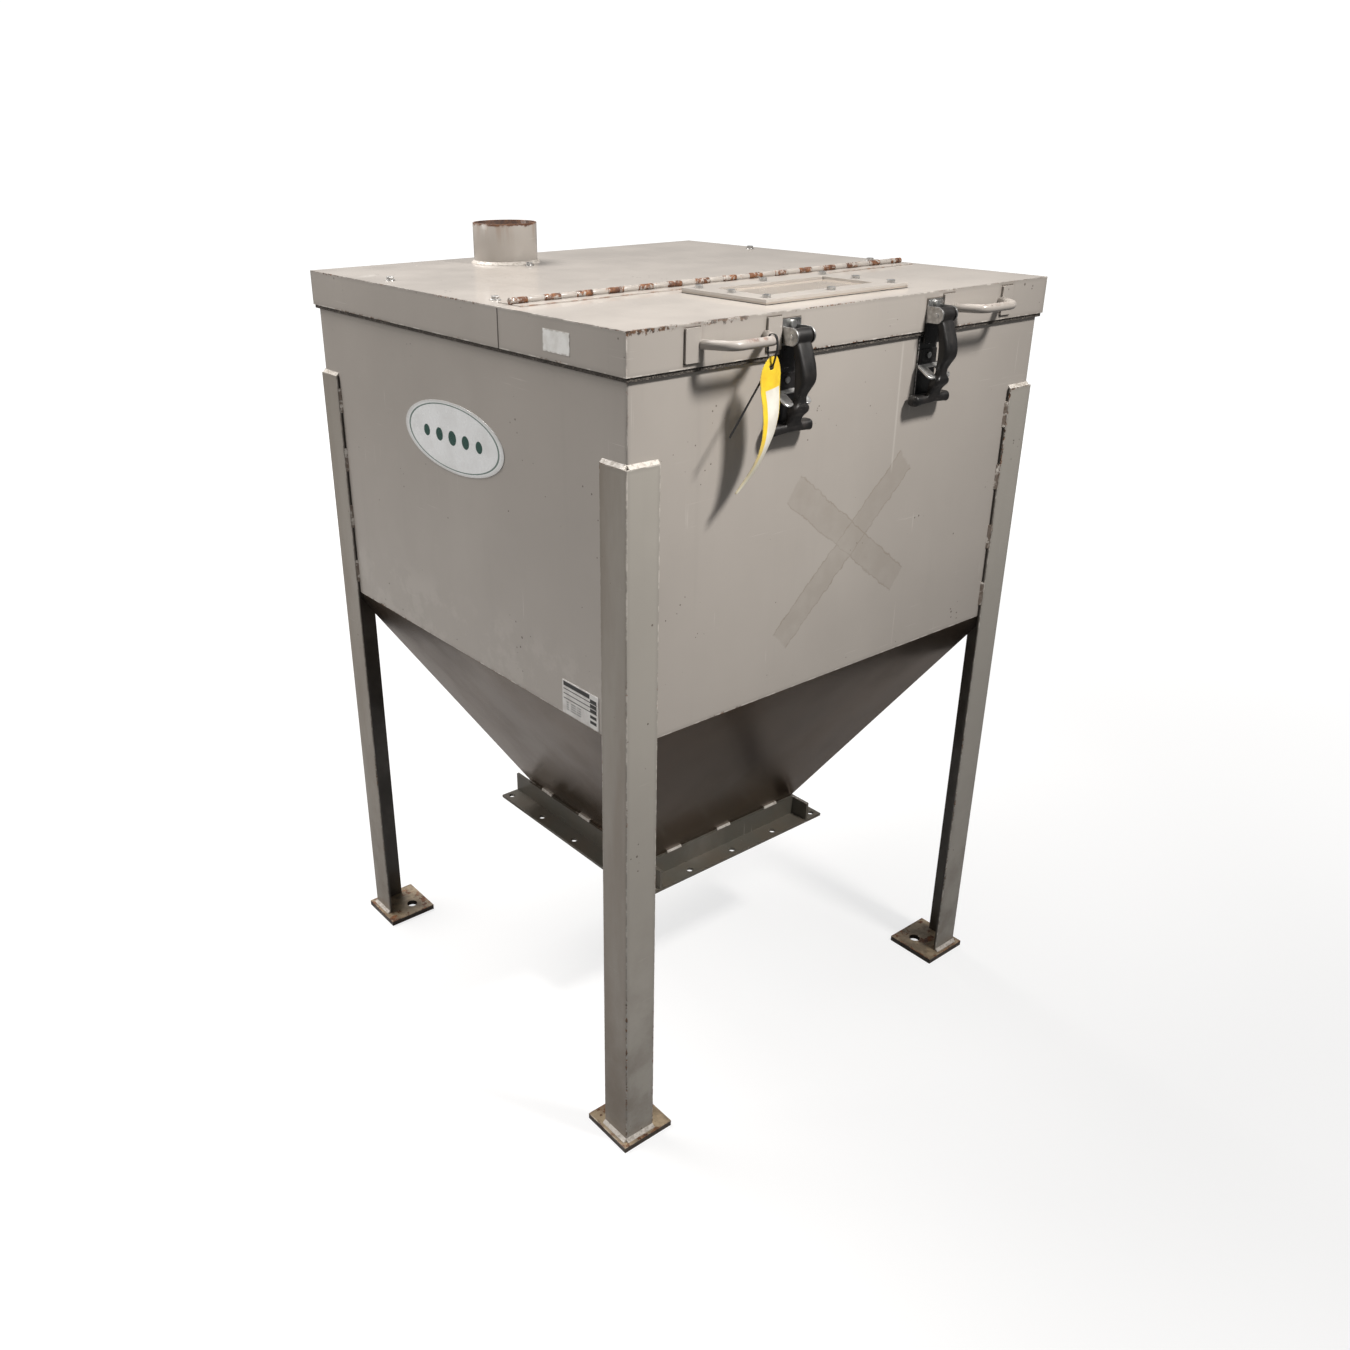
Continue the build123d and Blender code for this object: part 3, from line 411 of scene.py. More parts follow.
leg_paint = paint("leg_paint", low=tuple(leg_low), high=tuple(leg_high), wear=1.0, chips=0.0015,
                  grime=(0.50, 0.01), extra=leg_faces, tone=(0.375, 0.352, 0.315))
# painted shade: the outlet angles get a near-black brown tone instead of the greige paint, for the shadow
# they stand in
flange_shaded_paint = paint("flange_shaded_paint", low=(FAR, FAR, hopper_low.z), high=(-outlet_high.x, FAR, outlet_high.z),
                     grime=(0.42, 0.25), tone=(0.110, 0.104, 0.086))
small_paint = paint("small_paint", wear=0.6)


def grip_wear(g, colour, rough):
    """Paint rubbed down to rusty steel along the tops of the grips, and painted shade on their undersides.
    """
    handle_low, handle_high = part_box("handle_left")
    rod_z = middle((handle_low, handle_high)).z
    rod = g.ramp(g.y, handle_low.y + 0.010, handle_low.y + 0.006)
    top = g.ramp(g.z, rod_z + 0.0010, rod_z + 0.0042)
    held = g.band(g.near(g.math("ABSOLUTE", g.x), 0.212), 0.0, 0.020, 0.022)
    worn = g.ramp(g.noise(75.0, 5.0, 0.65, shift=1.7), 0.42, 0.54)
    bare = g.times(rod, top, held, worn, g.ramp(g.x, 0.0, 0.01, 0.75, 0.25))
    steel = g.mix(g.ramp(g.noise(260.0, 3.0), 0.4, 0.6), (0.24, 0.135, 0.10), (0.12, 0.060, 0.042))
    colour = g.mix(bare, colour, steel)
    # painted shade: the grips' undersides darkened
    under = g.times(rod, g.ramp(g.z, rod_z - 0.002, rod_z - 0.0045))
    colour = g.mix(g.times(under, 0.5), colour, (0.10, 0.08, 0.065))
    return colour, g.sum(rough, g.times(bare, 0.2))


handle_paint = paint("handle_paint", wear=0.8, extra=grip_wear)


def stub_rust(g, colour, rough):
    """Bare, rusty rim, and rust that bleeds a little way down the stub."""
    ragged = g.sum(g.z, g.wander(45.0, 5.0, 0.65, 0.020))
    amount = g.ramp(ragged, stub_high.z - 0.0040, stub_high.z - 0.0010)
    centre = middle((stub_low, stub_high))
    away = g.apart(g.x, centre.x, g.y, centre.y)
    bore = (stub_high.x - stub_low.x) / 2 - 0.0010
    amount = g.math("MAXIMUM", amount, g.ramp(away, bore, bore - 0.0004, 0.0, 0.9))
    colour = g.mix(amount, colour, g.mix(0.45, rust_colour(g), (0.060, 0.028, 0.018)))
    runs = g.ramp(g.noise(1.0, 4.0, 0.6, at=g.stretch(70, 70, 6)), 0.5, 0.72)
    bleed = g.times(g.ramp(g.z, stub_high.z - 0.04, stub_high.z), runs)
    colour = g.mix(g.times(bleed, 0.35), colour, (0.25, 0.13, 0.06))
    return colour, g.sum(rough, g.times(amount, 0.35))


stub_paint = paint("stub_paint", wear=0.9, extra=stub_rust)


def foot_wear(g, colour, rough):
    """Paint worn off in rusty patches, dark at the plate's edges."""
    ragged = g.sum(g.edge(tuple(foot_low), tuple(foot_high)), g.wander(80.0, 5.0, 0.65, 0.030))
    bare = g.math("MAXIMUM", g.ramp(ragged, -0.002, 0.003, 0.9, 0.0),
                  g.ramp(g.noise(42.0, 6.0, 0.7, shift=1.5), 0.53, 0.61))
    sides = g.ramp(g.z, foot_high.z - 0.0015, foot_high.z - 0.0005, 1.0, 0.0)
    pale = g.mix(g.ramp(g.noise(30.0, 5.0, 0.6), 0.35, 0.65), (0.42, 0.33, 0.22), (0.17, 0.13, 0.085))
    colour = g.mix(bare, pale, rust_colour(g, 85.0))
    colour = g.mix(g.times(sides, 0.92), colour, (0.028, 0.019, 0.013))
    return colour, g.sum(rough, g.times(bare, 0.3))


foot_paint = paint("foot_paint", wear=1.2, extra=foot_wear)


def hinge_finish(name, rusty):
    """Knuckles that are bare and rusty on one leaf and still painted on the other, over painted leaves."""
    pin = middle(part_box("hinge_pin"))
    radius = hinge_high.z - pin.z + 0.0016

    def finish(g, colour, rough):
        barrel = g.ramp(g.apart(g.y, pin.y, g.z, pin.z), radius + 0.0003, radius + 0.0010, 1.0, 0.0)
        if rusty:
            patch = g.ramp(g.noise(150.0, 4.0, 0.65, shift=3.0), 0.40, 0.52)
        else:
            patch = g.ramp(g.noise(120.0, 4.0, 0.65), 0.60, 0.70, 0.0, 0.7)
        seam = g.times(g.ramp(g.near(g.y, pin.y), 0.020, 0.0245),
                       g.ramp(g.noise(60.0, 4.0, 0.6), 0.45, 0.62), 0.65)
        amount = g.math("MAXIMUM", g.times(barrel, patch), seam)
        colour = g.mix(amount, colour, rust_colour(g, 120.0))
        return colour, g.sum(rough, g.times(amount, 0.3))

    return paint(name, wear=0.8, extra=finish)


hinge_rusty = hinge_finish("hinge_rusty", True)
hinge_painted = hinge_finish("hinge_painted", False)


# ---- bare steel, zinc and black ----
def hopper_steel():
    g = Graph("hopper_steel")
    patch = g.noise(4.0, 6.0, 0.6, shift=2.0)
    colour = g.mix(g.ramp(patch, 0.35, 0.68), (0.142, 0.095, 0.062), (0.181, 0.122, 0.081))
    run = g.noise(1.0, 4.0, 0.6, at=g.stretch(20, 20, 2.0, 1.0))
    colour = g.mix(g.ramp(run, 0.5, 0.8, 0.0, 0.30), colour, (0.098, 0.070, 0.050))
    low = g.ramp(g.z, outlet_high.z + 0.15, outlet_high.z, 0.0, 1.0)
    stain = g.times(low, g.ramp(g.noise(26.0, 5.0, 0.65), 0.45, 0.7))
    colour = g.mix(g.times(stain, 0.55), colour, (0.20, 0.125, 0.065))
    pits = g.math("LESS_THAN", g.cells(70.0), g.ramp(g.noise(9.0, 3.0), 0.5, 0.8, 0.0, 0.12))
    colour = g.mix(g.times(pits, 0.6), colour, (0.42, 0.38, 0.33))
    rough = g.ramp(g.noise(5.0, 4.0, 0.6, shift=5.0), 0.3, 0.7, 0.15, 0.27)
    wave = g.bump(g.noise(3.5, 2.0, 0.4, shift=8.0), 0.004, 0.25)
    fine = g.bump(g.noise(260.0, 2.0, 0.5), 0.0001, 0.4, under=wave)
    g.set(Base_Color=colour, Roughness=rough, Normal=fine, Metallic=0.82)
    return g.material


def zinc(name, tone=(0.62, 0.62, 0.61), scratch=1.0, dark=None):
    """Bright plate. dark, given the graph, is where it is coloured near-black instead: on the latch brackets
    this is painted shade.
    """
    g = Graph(name)
    spangle = g.cells(170.0)
    colour = g.mix(g.ramp(spangle, 0.1, 0.8), tone, shade(tone, 0.72))
    dull = g.noise(60.0, 5.0, 0.65, shift=3.0)
    colour = g.mix(g.ramp(dull, 0.55, 0.75, 0.0, 0.6), colour, (0.24, 0.20, 0.16))
    lines = g.noise(1.0, 2.0, 0.5, at=g.stretch(900, 60, 60))
    rough = g.sum(g.ramp(dull, 0.3, 0.7, 0.22, 0.46), g.ramp(lines, 0.55, 0.8, 0.0, 0.12 * scratch))
    metal = 1.0
    if dark:
        amount = dark(g)
        colour = g.mix(amount, colour, (0.014, 0.013, 0.013))
        metal = g.math("SUBTRACT", 1.0, amount)
    g.set(Base_Color=colour, Roughness=rough, Metallic=metal,
          Normal=g.bump(g.noise(500.0, 3.0), 0.0001, 0.4))
    return g.material


def black_plate():
    g = Graph("black_plate")
    low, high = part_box("keeper_plate_right")
    edge = g.edge((low.x, FAR, low.z), (high.x, -low.y, high.z))
    colour = g.mix(g.ramp(g.noise(90.0, 5.0, 0.6), 0.4, 0.7), (0.011, 0.011, 0.012), (0.028, 0.027, 0.026))
    worn = g.times(g.ramp(edge, 0.0004, 0.0016, 1.0, 0.0), g.ramp(g.noise(160.0, 4.0), 0.38, 0.55))
    colour = g.mix(worn, colour, (0.42, 0.40, 0.38))
    dust = g.ramp(g.noise(30.0, 6.0, 0.65, shift=2.0), 0.5, 0.75, 0.0, 0.25)
    colour = g.mix(dust, colour, (0.16, 0.145, 0.125))
    g.set(Base_Color=colour, Roughness=g.ramp(g.noise(40.0, 4.0), 0.3, 0.7, 0.25, 0.42), Metallic=0.0,
          Coat_Weight=0.3, Coat_Roughness=0.2, Normal=g.bump(g.noise(700.0, 2.0), 0.0001, 0.5))
    return g.material


def rubber():
    g = Graph("strap_rubber")
    clouds = g.ramp(g.noise(60.0, 5.0, 0.6), 0.35, 0.7)
    colour = g.mix(clouds, (0.006, 0.0055, 0.0055), (0.014, 0.012, 0.011))
    bloom = g.noise(1.0, 5.0, 0.7, at=g.stretch(60, 60, 18, 4.0))
    colour = g.mix(g.ramp(bloom, 0.52, 0.80, 0.0, 0.40), colour, (0.052, 0.040, 0.035))
    grit = g.math("LESS_THAN", g.cells(420.0), g.ramp(g.noise(40.0), 0.45, 0.7, 0.0, 0.22))
    colour = g.mix(g.times(grit, 0.35), colour, (0.22, 0.20, 0.17))
    normal = g.bump(g.noise(900.0, 3.0, 0.6), 0.0001, 0.7)
    g.set(Base_Color=colour, Roughness=g.ramp(bloom, 0.3, 0.75, 0.33, 0.60), Normal=normal, IOR=1.52)
    return g.material


def foam(name="seal_foam"):
    g = Graph(name)
    pores = g.cells(620.0)
    fuzz = g.noise(240.0, 6.0, 0.7)
    colour = g.mix(g.ramp(pores, 0.15, 0.6), (0.018, 0.015, 0.013), (0.085, 0.074, 0.064))
    colour = g.mix(g.ramp(fuzz, 0.50, 0.72, 0.0, 0.8), colour, (0.27, 0.235, 0.20))
    g.set(Base_Color=colour, Roughness=0.92, Normal=g.bump(g.sum(pores, fuzz), 0.0012, 1.0))
    return g.material


def dark_rubber_sheet():
    g = Graph("gasket_rubber")
    colour = g.mix(g.noise(80.0), (0.02, 0.019, 0.018), (0.06, 0.054, 0.048))
    g.set(Base_Color=colour, Roughness=0.75, Normal=g.bump(g.noise(500.0), 0.0002, 0.5))
    return g.material


def clear_pane():
    """A scratched, dusty acrylic window, mostly opaque: its beige colour is a painted reflection of the pale
    surroundings, with dust over it.
    """
    g = Graph("clear_pane")
    haze = g.noise(24.0, 6.0, 0.65)
    lines = g.noise(1.0, 2.0, 0.5, at=g.stretch(500, 18, 1))
    dust = g.sum(g.ramp(haze, 0.42, 0.72, 0.10, 0.42), g.ramp(lines, 0.66, 0.76, 0.0, 0.16))
    # painted reflection: the beige pane colour stands in for what the pane reflects
    colour = g.mix(dust, (0.50, 0.44, 0.375), (0.55, 0.485, 0.42))
    g.set(Base_Color=colour, Roughness=g.ramp(haze, 0.3, 0.7, 0.05, 0.16), Transmission_Weight=0.30,
          IOR=1.49, Normal=g.bump(g.noise(12.0, 2.0), 0.0006, 0.25))
    return g.material


# ---- plates, labels and the tag ----
DOT_STEP = 0.034


def oval_face():
    """White oval with a dark ring near its edge, and a row of plain dots."""
    g = Graph("badge_face")
    centre, half = middle((badge_low, badge_high)), (badge_high - badge_low) / 2
    u = g.times(g.math("SUBTRACT", g.y, centre.y), 1 / half.y)
    v = g.times(g.math("SUBTRACT", g.z, centre.z), 1 / half.z)
    radius = g.length(u, v)
    colour = g.mix(g.ramp(g.noise(30.0, 5.0, 0.6), 0.3, 0.75), (0.90, 0.92, 0.93), (0.78, 0.79, 0.79))
    ring = g.band(radius, 0.905, 0.012, 0.006)
    colour = g.mix(g.times(ring, 0.85), colour, (0.035, 0.10, 0.075))
    dots = 0.0
    for n in range(-2, 3):
        away = g.apart(g.y, centre.y + n * DOT_STEP, g.z, centre.z)
        dot = 0.0100 - 0.001 * abs(n)
        dots = g.sum(g.ramp(away, dot, dot + 0.0004, 1.0, 0.0), dots)
    colour = g.mix(dots, colour, (0.018, 0.075, 0.058))
    grime = g.ramp(radius, 0.90, 1.0, 0.0, 0.35)
    colour = g.mix(grime, colour, (0.30, 0.27, 0.23))
    g.set(Base_Color=colour, Roughness=g.ramp(g.noise(60.0), 0.3, 0.7, 0.24, 0.36), Coat_Weight=0.4,
          Coat_Roughness=0.12, Normal=g.bump(g.noise(15.0, 2.0), 0.0004, 0.3))
    return g.material


def label_face():
    g = Graph("label_paper")
    edge = g.math("MINIMUM", g.math("MINIMUM", g.near(g.y, label_low.y), g.near(g.y, label_high.y)),
                  g.math("MINIMUM", g.near(g.z, label_low.z), g.near(g.z, label_high.z)))
    colour = g.mix(g.ramp(g.noise(60.0, 5.0, 0.6), 0.35, 0.7), (0.86, 0.86, 0.84), (0.74, 0.73, 0.70))
    worn = g.times(g.ramp(edge, 0.0, 0.0025, 1.0, 0.0), g.ramp(g.noise(220.0, 4.0), 0.42, 0.6))
    colour = g.mix(g.times(worn, 0.7), colour, (0.36, 0.33, 0.29))
    fibre = g.noise(1.0, 3.0, 0.6, at=g.stretch(300, 900, 900))
    g.set(Base_Color=colour, Roughness=0.55, Normal=g.bump(fibre, 0.0001, 0.5))
    return g.material


def spec_face():
    """Silver plate with black rules and panels, and no writing."""
    g = Graph("spec_foil")
    size = spec_high - spec_low
    # u runs from the back edge to the front edge, and v up the plate
    u = g.times(g.math("SUBTRACT", spec_high.y, g.y), 1 / size.y)
    v = g.times(g.math("SUBTRACT", g.z, spec_low.z), 1 / size.z)
    ink = g.times(g.band(u, 0.40, 0.36, 0.004), g.band(v, 0.895, 0.060, 0.010))
    for height in (0.74, 0.60, 0.46):
        ink = g.sum(ink, g.times(g.band(u, 0.5, 0.46, 0.004), g.band(v, height, 0.010, 0.006)))
    for height in (0.80, 0.66, 0.52, 0.33, 0.17):
        ink = g.sum(ink, g.times(g.band(u, 0.86, 0.085, 0.004), g.band(v, height, 0.042, 0.008)))
    for height in (0.36, 0.29, 0.22, 0.15):
        bars = g.ramp(g.noise(1.0, 1.0, 0.5, at=g.stretch(1, 260, 1, height)), 0.44, 0.50)
        ink = g.sum(ink, g.times(g.band(u, 0.32, 0.20, 0.004), g.band(v, height, 0.012, 0.006), bars, 0.8))
    ink = g.math("MINIMUM", ink, 1.0)
    colour = g.mix(g.ramp(g.noise(70.0, 4.0), 0.35, 0.7), (0.78, 0.77, 0.75), (0.64, 0.62, 0.60))
    colour = g.mix(ink, colour, (0.022, 0.022, 0.022))
    g.set(Base_Color=colour, Roughness=0.32, Metallic=g.times(g.math("SUBTRACT", 1.0, ink), 0.35),
          Normal=g.bump(g.noise(300.0), 0.0001, 0.3))
    return g.material


def tag_card():
    """Yellow card with a white band for writing down its middle, left blank. It is worn at its edges.

    The tag's own coordinates are stored on it as attributes: along from its top, and across."""
    g = Graph("tag_card")
    along = g.add("ShaderNodeAttribute", attribute_name="along").outputs["Fac"]
    across = g.add("ShaderNodeAttribute", attribute_name="across").outputs["Fac"]
    yellow = g.mix(g.ramp(g.noise(70.0, 4.0), 0.35, 0.7), (0.90, 0.64, 0.035), (0.80, 0.52, 0.03))
    white = g.mix(g.ramp(g.noise(50.0, 5.0), 0.35, 0.7), (0.80, 0.78, 0.70), (0.68, 0.65, 0.57))
    start = g.math("ADD", along, g.times(across, 0.015))
    band = g.times(g.ramp(start, 0.236, 0.243), g.band(across, 0.16, 0.70, 0.03))
    colour = g.mix(band, yellow, white)
    fade = g.ramp(along, 0.56, 0.86, 0.0, 0.85)
    colour = g.mix(fade, colour, (0.66, 0.62, 0.50))
    soil = g.times(g.ramp(g.math("ABSOLUTE", across), 0.82, 1.0), g.ramp(g.noise(160.0, 4.0), 0.42, 0.62))
    colour = g.mix(g.times(soil, 0.5), colour, (0.30, 0.24, 0.14))
    fibre = g.noise(700.0, 3.0, 0.6)
    g.set(Base_Color=colour, Roughness=0.50, Normal=g.bump(fibre, 0.00015, 0.4), Coat_Weight=0.2,
          Coat_Roughness=0.3)
    return g.material


def nylon():
    g = Graph("tie_nylon")
    colour = g.mix(g.noise(200.0), (0.010, 0.010, 0.010), (0.026, 0.025, 0.025))
    ribs = g.math("SINE", g.times(g.z, 2 * pi / 0.0011))
    g.set(Base_Color=colour, Roughness=0.38, Normal=g.bump(ribs, 0.0001, 0.5))
    return g.material


def weld_metal(name="weld_paint", dark=None):
    """Paint over a weld: pale on its crests, and rusty in places. dark, given the graph, is how much darker
    and browner it is made.
    """
    g = Graph(name)
    lumps = g.noise(210.0, 4.0, 0.6)
    colour = g.mix(g.ramp(lumps, 0.30, 0.58), (0.38, 0.34, 0.29), (0.64, 0.60, 0.55))
    colour = g.mix(g.ramp(g.noise(70.0, 5.0, 0.65, shift=3.0), 0.66, 0.76, 0.0, 0.7), colour, rust_colour(g))
    if dark:
        colour = g.mix(g.times(dark(g), g.ramp(g.noise(90.0), 0.38, 0.5)), colour, (0.10, 0.062, 0.040))
    g.set(Base_Color=colour, Roughness=g.ramp(lumps, 0.3, 0.7, 0.48, 0.34),
          Normal=g.bump(lumps, 0.0008, 0.7))
    return g.material


pins_middle = middle(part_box("latch_pins"))
plate_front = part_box("keeper_plate_left")[0].y
# painted shade: the brackets' tabs below their ears are coloured near-black for the shadow they lie in
zinc_plate_painted_shade = zinc("zinc_plate_painted_shade",
                  dark=lambda g: g.ramp(g.z, pins_middle.z - 0.0125, pins_middle.z - 0.0095, 1.0, 0.0))
zinc_bolt = zinc("zinc_bolt", (0.72, 0.72, 0.71))
zinc_fork = zinc("zinc_fork", (0.80, 0.80, 0.79), 2.0,
                 dark=lambda g: g.ramp(g.y, plate_front - 0.0045, plate_front - 0.0030))
weld_finish = weld_metal()
# the stitch welds are made darker and browner below the tops of the legs
stitch_finish = weld_metal("stitch_paint",
                           dark=lambda g: g.ramp(g.z, leg_high.z - 0.010, leg_high.z - 0.006, 0.8, 0.0))
keeper_black = black_plate()
seal_foam = foam()
finishes = {
    "tank_shell": tank_paint, "rear_cover": cover_paint, "front_lid": lid_paint,
    "hopper_cone": hopper_steel(), "inlet_stub": stub_paint,
    "hinge_rear_leaf": hinge_rusty, "hinge_front_leaf": hinge_painted, "hinge_pin": hinge_rusty,
    "handle_left": handle_paint, "handle_right": handle_paint,
    "window_frame": small_paint, "window_gasket": dark_rubber_sheet(), "window_pane": clear_pane(),
    "window_bolts": zinc_bolt, "window_nuts": zinc_bolt, "cover_bolts": zinc_bolt,
    "cover_nuts": zinc_bolt, "cover_washers": zinc_bolt,
    "latch_bracket_left": zinc_plate_painted_shade, "latch_bracket_right": zinc_plate_painted_shade,
    "latch_pins": zinc_bolt, "latch_bolts": zinc_bolt, "keeper_rivets": zinc_bolt,
    "keeper_plate_left": keeper_black, "keeper_plate_right": keeper_black,
    "keeper_fork_left": zinc_fork, "keeper_fork_right": zinc_fork,
    "lid_gasket": foam("gasket_foam"), "rear_seal": seal_foam, "front_seal": seal_foam,
    "oval_badge": oval_face(), "lid_label": label_face(), "spec_plate": spec_face(),
    "outlet_welds": weld_finish, "foot_welds": weld_finish,
    "leg_welds": stitch_finish, "stub_weld": weld_finish,
}
for side in ("left", "right"):
    for end in ("front", "back"):
        finishes[f"leg_{end}_{side}"] = leg_paint
        finishes[f"foot_plate_{end}_{side}"] = foot_paint
for side in ("left", "right", "front", "back"):
    finishes[f"outlet_angle_{side}"] = flange_shaded_paint

# a small bevel on each edge, so that it catches the light
bevels = {"tank_shell": 0.0016, "rear_cover": 0.0016, "front_lid": 0.0016, "hopper_cone": 0.0010,
          "handle_left": 0.0008, "handle_right": 0.0008, "window_frame": 0.0007, "oval_badge": 0.0003,
          "lid_label": 0.0001, "spec_plate": 0.0002, "window_pane": 0.0004, "inlet_stub": 0.0007}


def plane(polygon):
    """The plane a polygon lies in, rounded so that its neighbours' can be compared with it."""
    return (*(round(c, 3) for c in polygon.normal), round(polygon.normal.dot(polygon.center), 5))


for name, finish in finishes.items():
    piece = nodes[name]
    piece.data.materials.clear()
    piece.data.materials.append(finish)
    if name in ("rear_seal", "front_seal", "lid_gasket"):
        continue
    weld = piece.modifiers.new("weld", "WELD")
    weld.merge_threshold = 0.00001
    planes = piece.modifiers.new("planes", "DECIMATE")
    planes.decimate_type = "DISSOLVE"
    planes.angle_limit = radians(0.3)
    bevel = piece.modifiers.new("bevel", "BEVEL")
    bevel.width = bevels.get(name, 0.0005)
    bevel.segments = 2
    bevel.limit_method = "ANGLE"
    bevel.angle_limit = radians(32)
    bevel.use_clamp_overlap = True
    # flat faces are shaded flat, and the curved ones smooth
    corner_normals = piece.data.corner_normals
    for polygon in piece.data.polygons:
        corners = [corner_normals[i].vector for i in polygon.loop_indices]
        polygon.use_smooth = any(corners[0].dot(normal) < 0.9999 for normal in corners[1:])
    flat_planes = {plane(polygon) for polygon in piece.data.polygons if not polygon.use_smooth}
    for polygon in piece.data.polygons:
        if plane(polygon) in flat_planes:
            polygon.use_smooth = False
    imported = piece.data.attributes.get("custom_normal")
    if imported:
        piece.data.attributes.remove(imported)


# ---- meshes ----
def new_piece(name, verts, faces, finish, body, slot, *replaced, smooth=True):
    mesh = bpy.data.meshes.new(name)
    mesh.from_pydata([tuple(v) for v in verts], [], faces)
    mesh.update()
    bm = bmesh.new()
    bm.from_mesh(mesh)
    bmesh.ops.recalc_face_normals(bm, faces=bm.faces)
    bm.to_mesh(mesh)
    bm.free()
    piece = bpy.data.objects.new(name, mesh)
    scene.collection.objects.link(piece)
    mesh.materials.append(finish)
    for polygon in mesh.polygons:
        polygon.use_smooth = smooth
    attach(piece, body)
    if replaced:
        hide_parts(*replaced)
    return piece


def loft(rings):
    """Faces that join rings of the same number of points, with the two ends filled."""
    count = len(rings[0])
    verts = [p for ring in rings for p in ring]
    faces = []
    for r in range(len(rings) - 1):
        for k in range(count):
            a, b = r * count + k, r * count + (k + 1) % count
            faces.append((a, b, b + count, a + count))
    faces.append(tuple(reversed(range(count))))
    faces.append(tuple(range((len(rings) - 1) * count, len(rings) * count)))
    return verts, faces


def join(verts, faces, more, more_faces):
    """Adds a second shape to the first."""
    start = len(verts)
    verts += more
    faces += [tuple(start + i for i in face) for face in more_faces]


def catmull(points, steps):
    """A smooth line through points."""
    points = [Vector(p) for p in points]
    padded = [2 * points[0] - points[1], *points, 2 * points[-1] - points[-2]]
    line = []
    for i in range(1, len(padded) - 2):
        a, b, c, d = padded[i - 1:i + 3]
        for s in range(steps):
            t = s / steps
            line.append(0.5 * (2 * b + (c - a) * t + (2 * a - 5 * b + 4 * c - d) * t * t
                               + (3 * b - a - 3 * c + d) * t ** 3))
    line.append(points[-1])
    return line


# ---- rubber latch straps ----
strap_finish = rubber()


def rounded(half_x, half_y, corner, steps=5):
    """Points round a rounded rectangle, in its own plane."""
    ring = []
    corner = min(corner, half_x, half_y)
    for quarter, (sx, sy) in enumerate(((1, 1), (-1, 1), (-1, -1), (1, -1))):
        for s in range(steps):
            angle = pi / 2 * (quarter + s / (steps - 1))
            ring.append((sx * (half_x - corner) + corner * cos(angle),
                         sy * (half_y - corner) + corner * sin(angle)))
    return ring


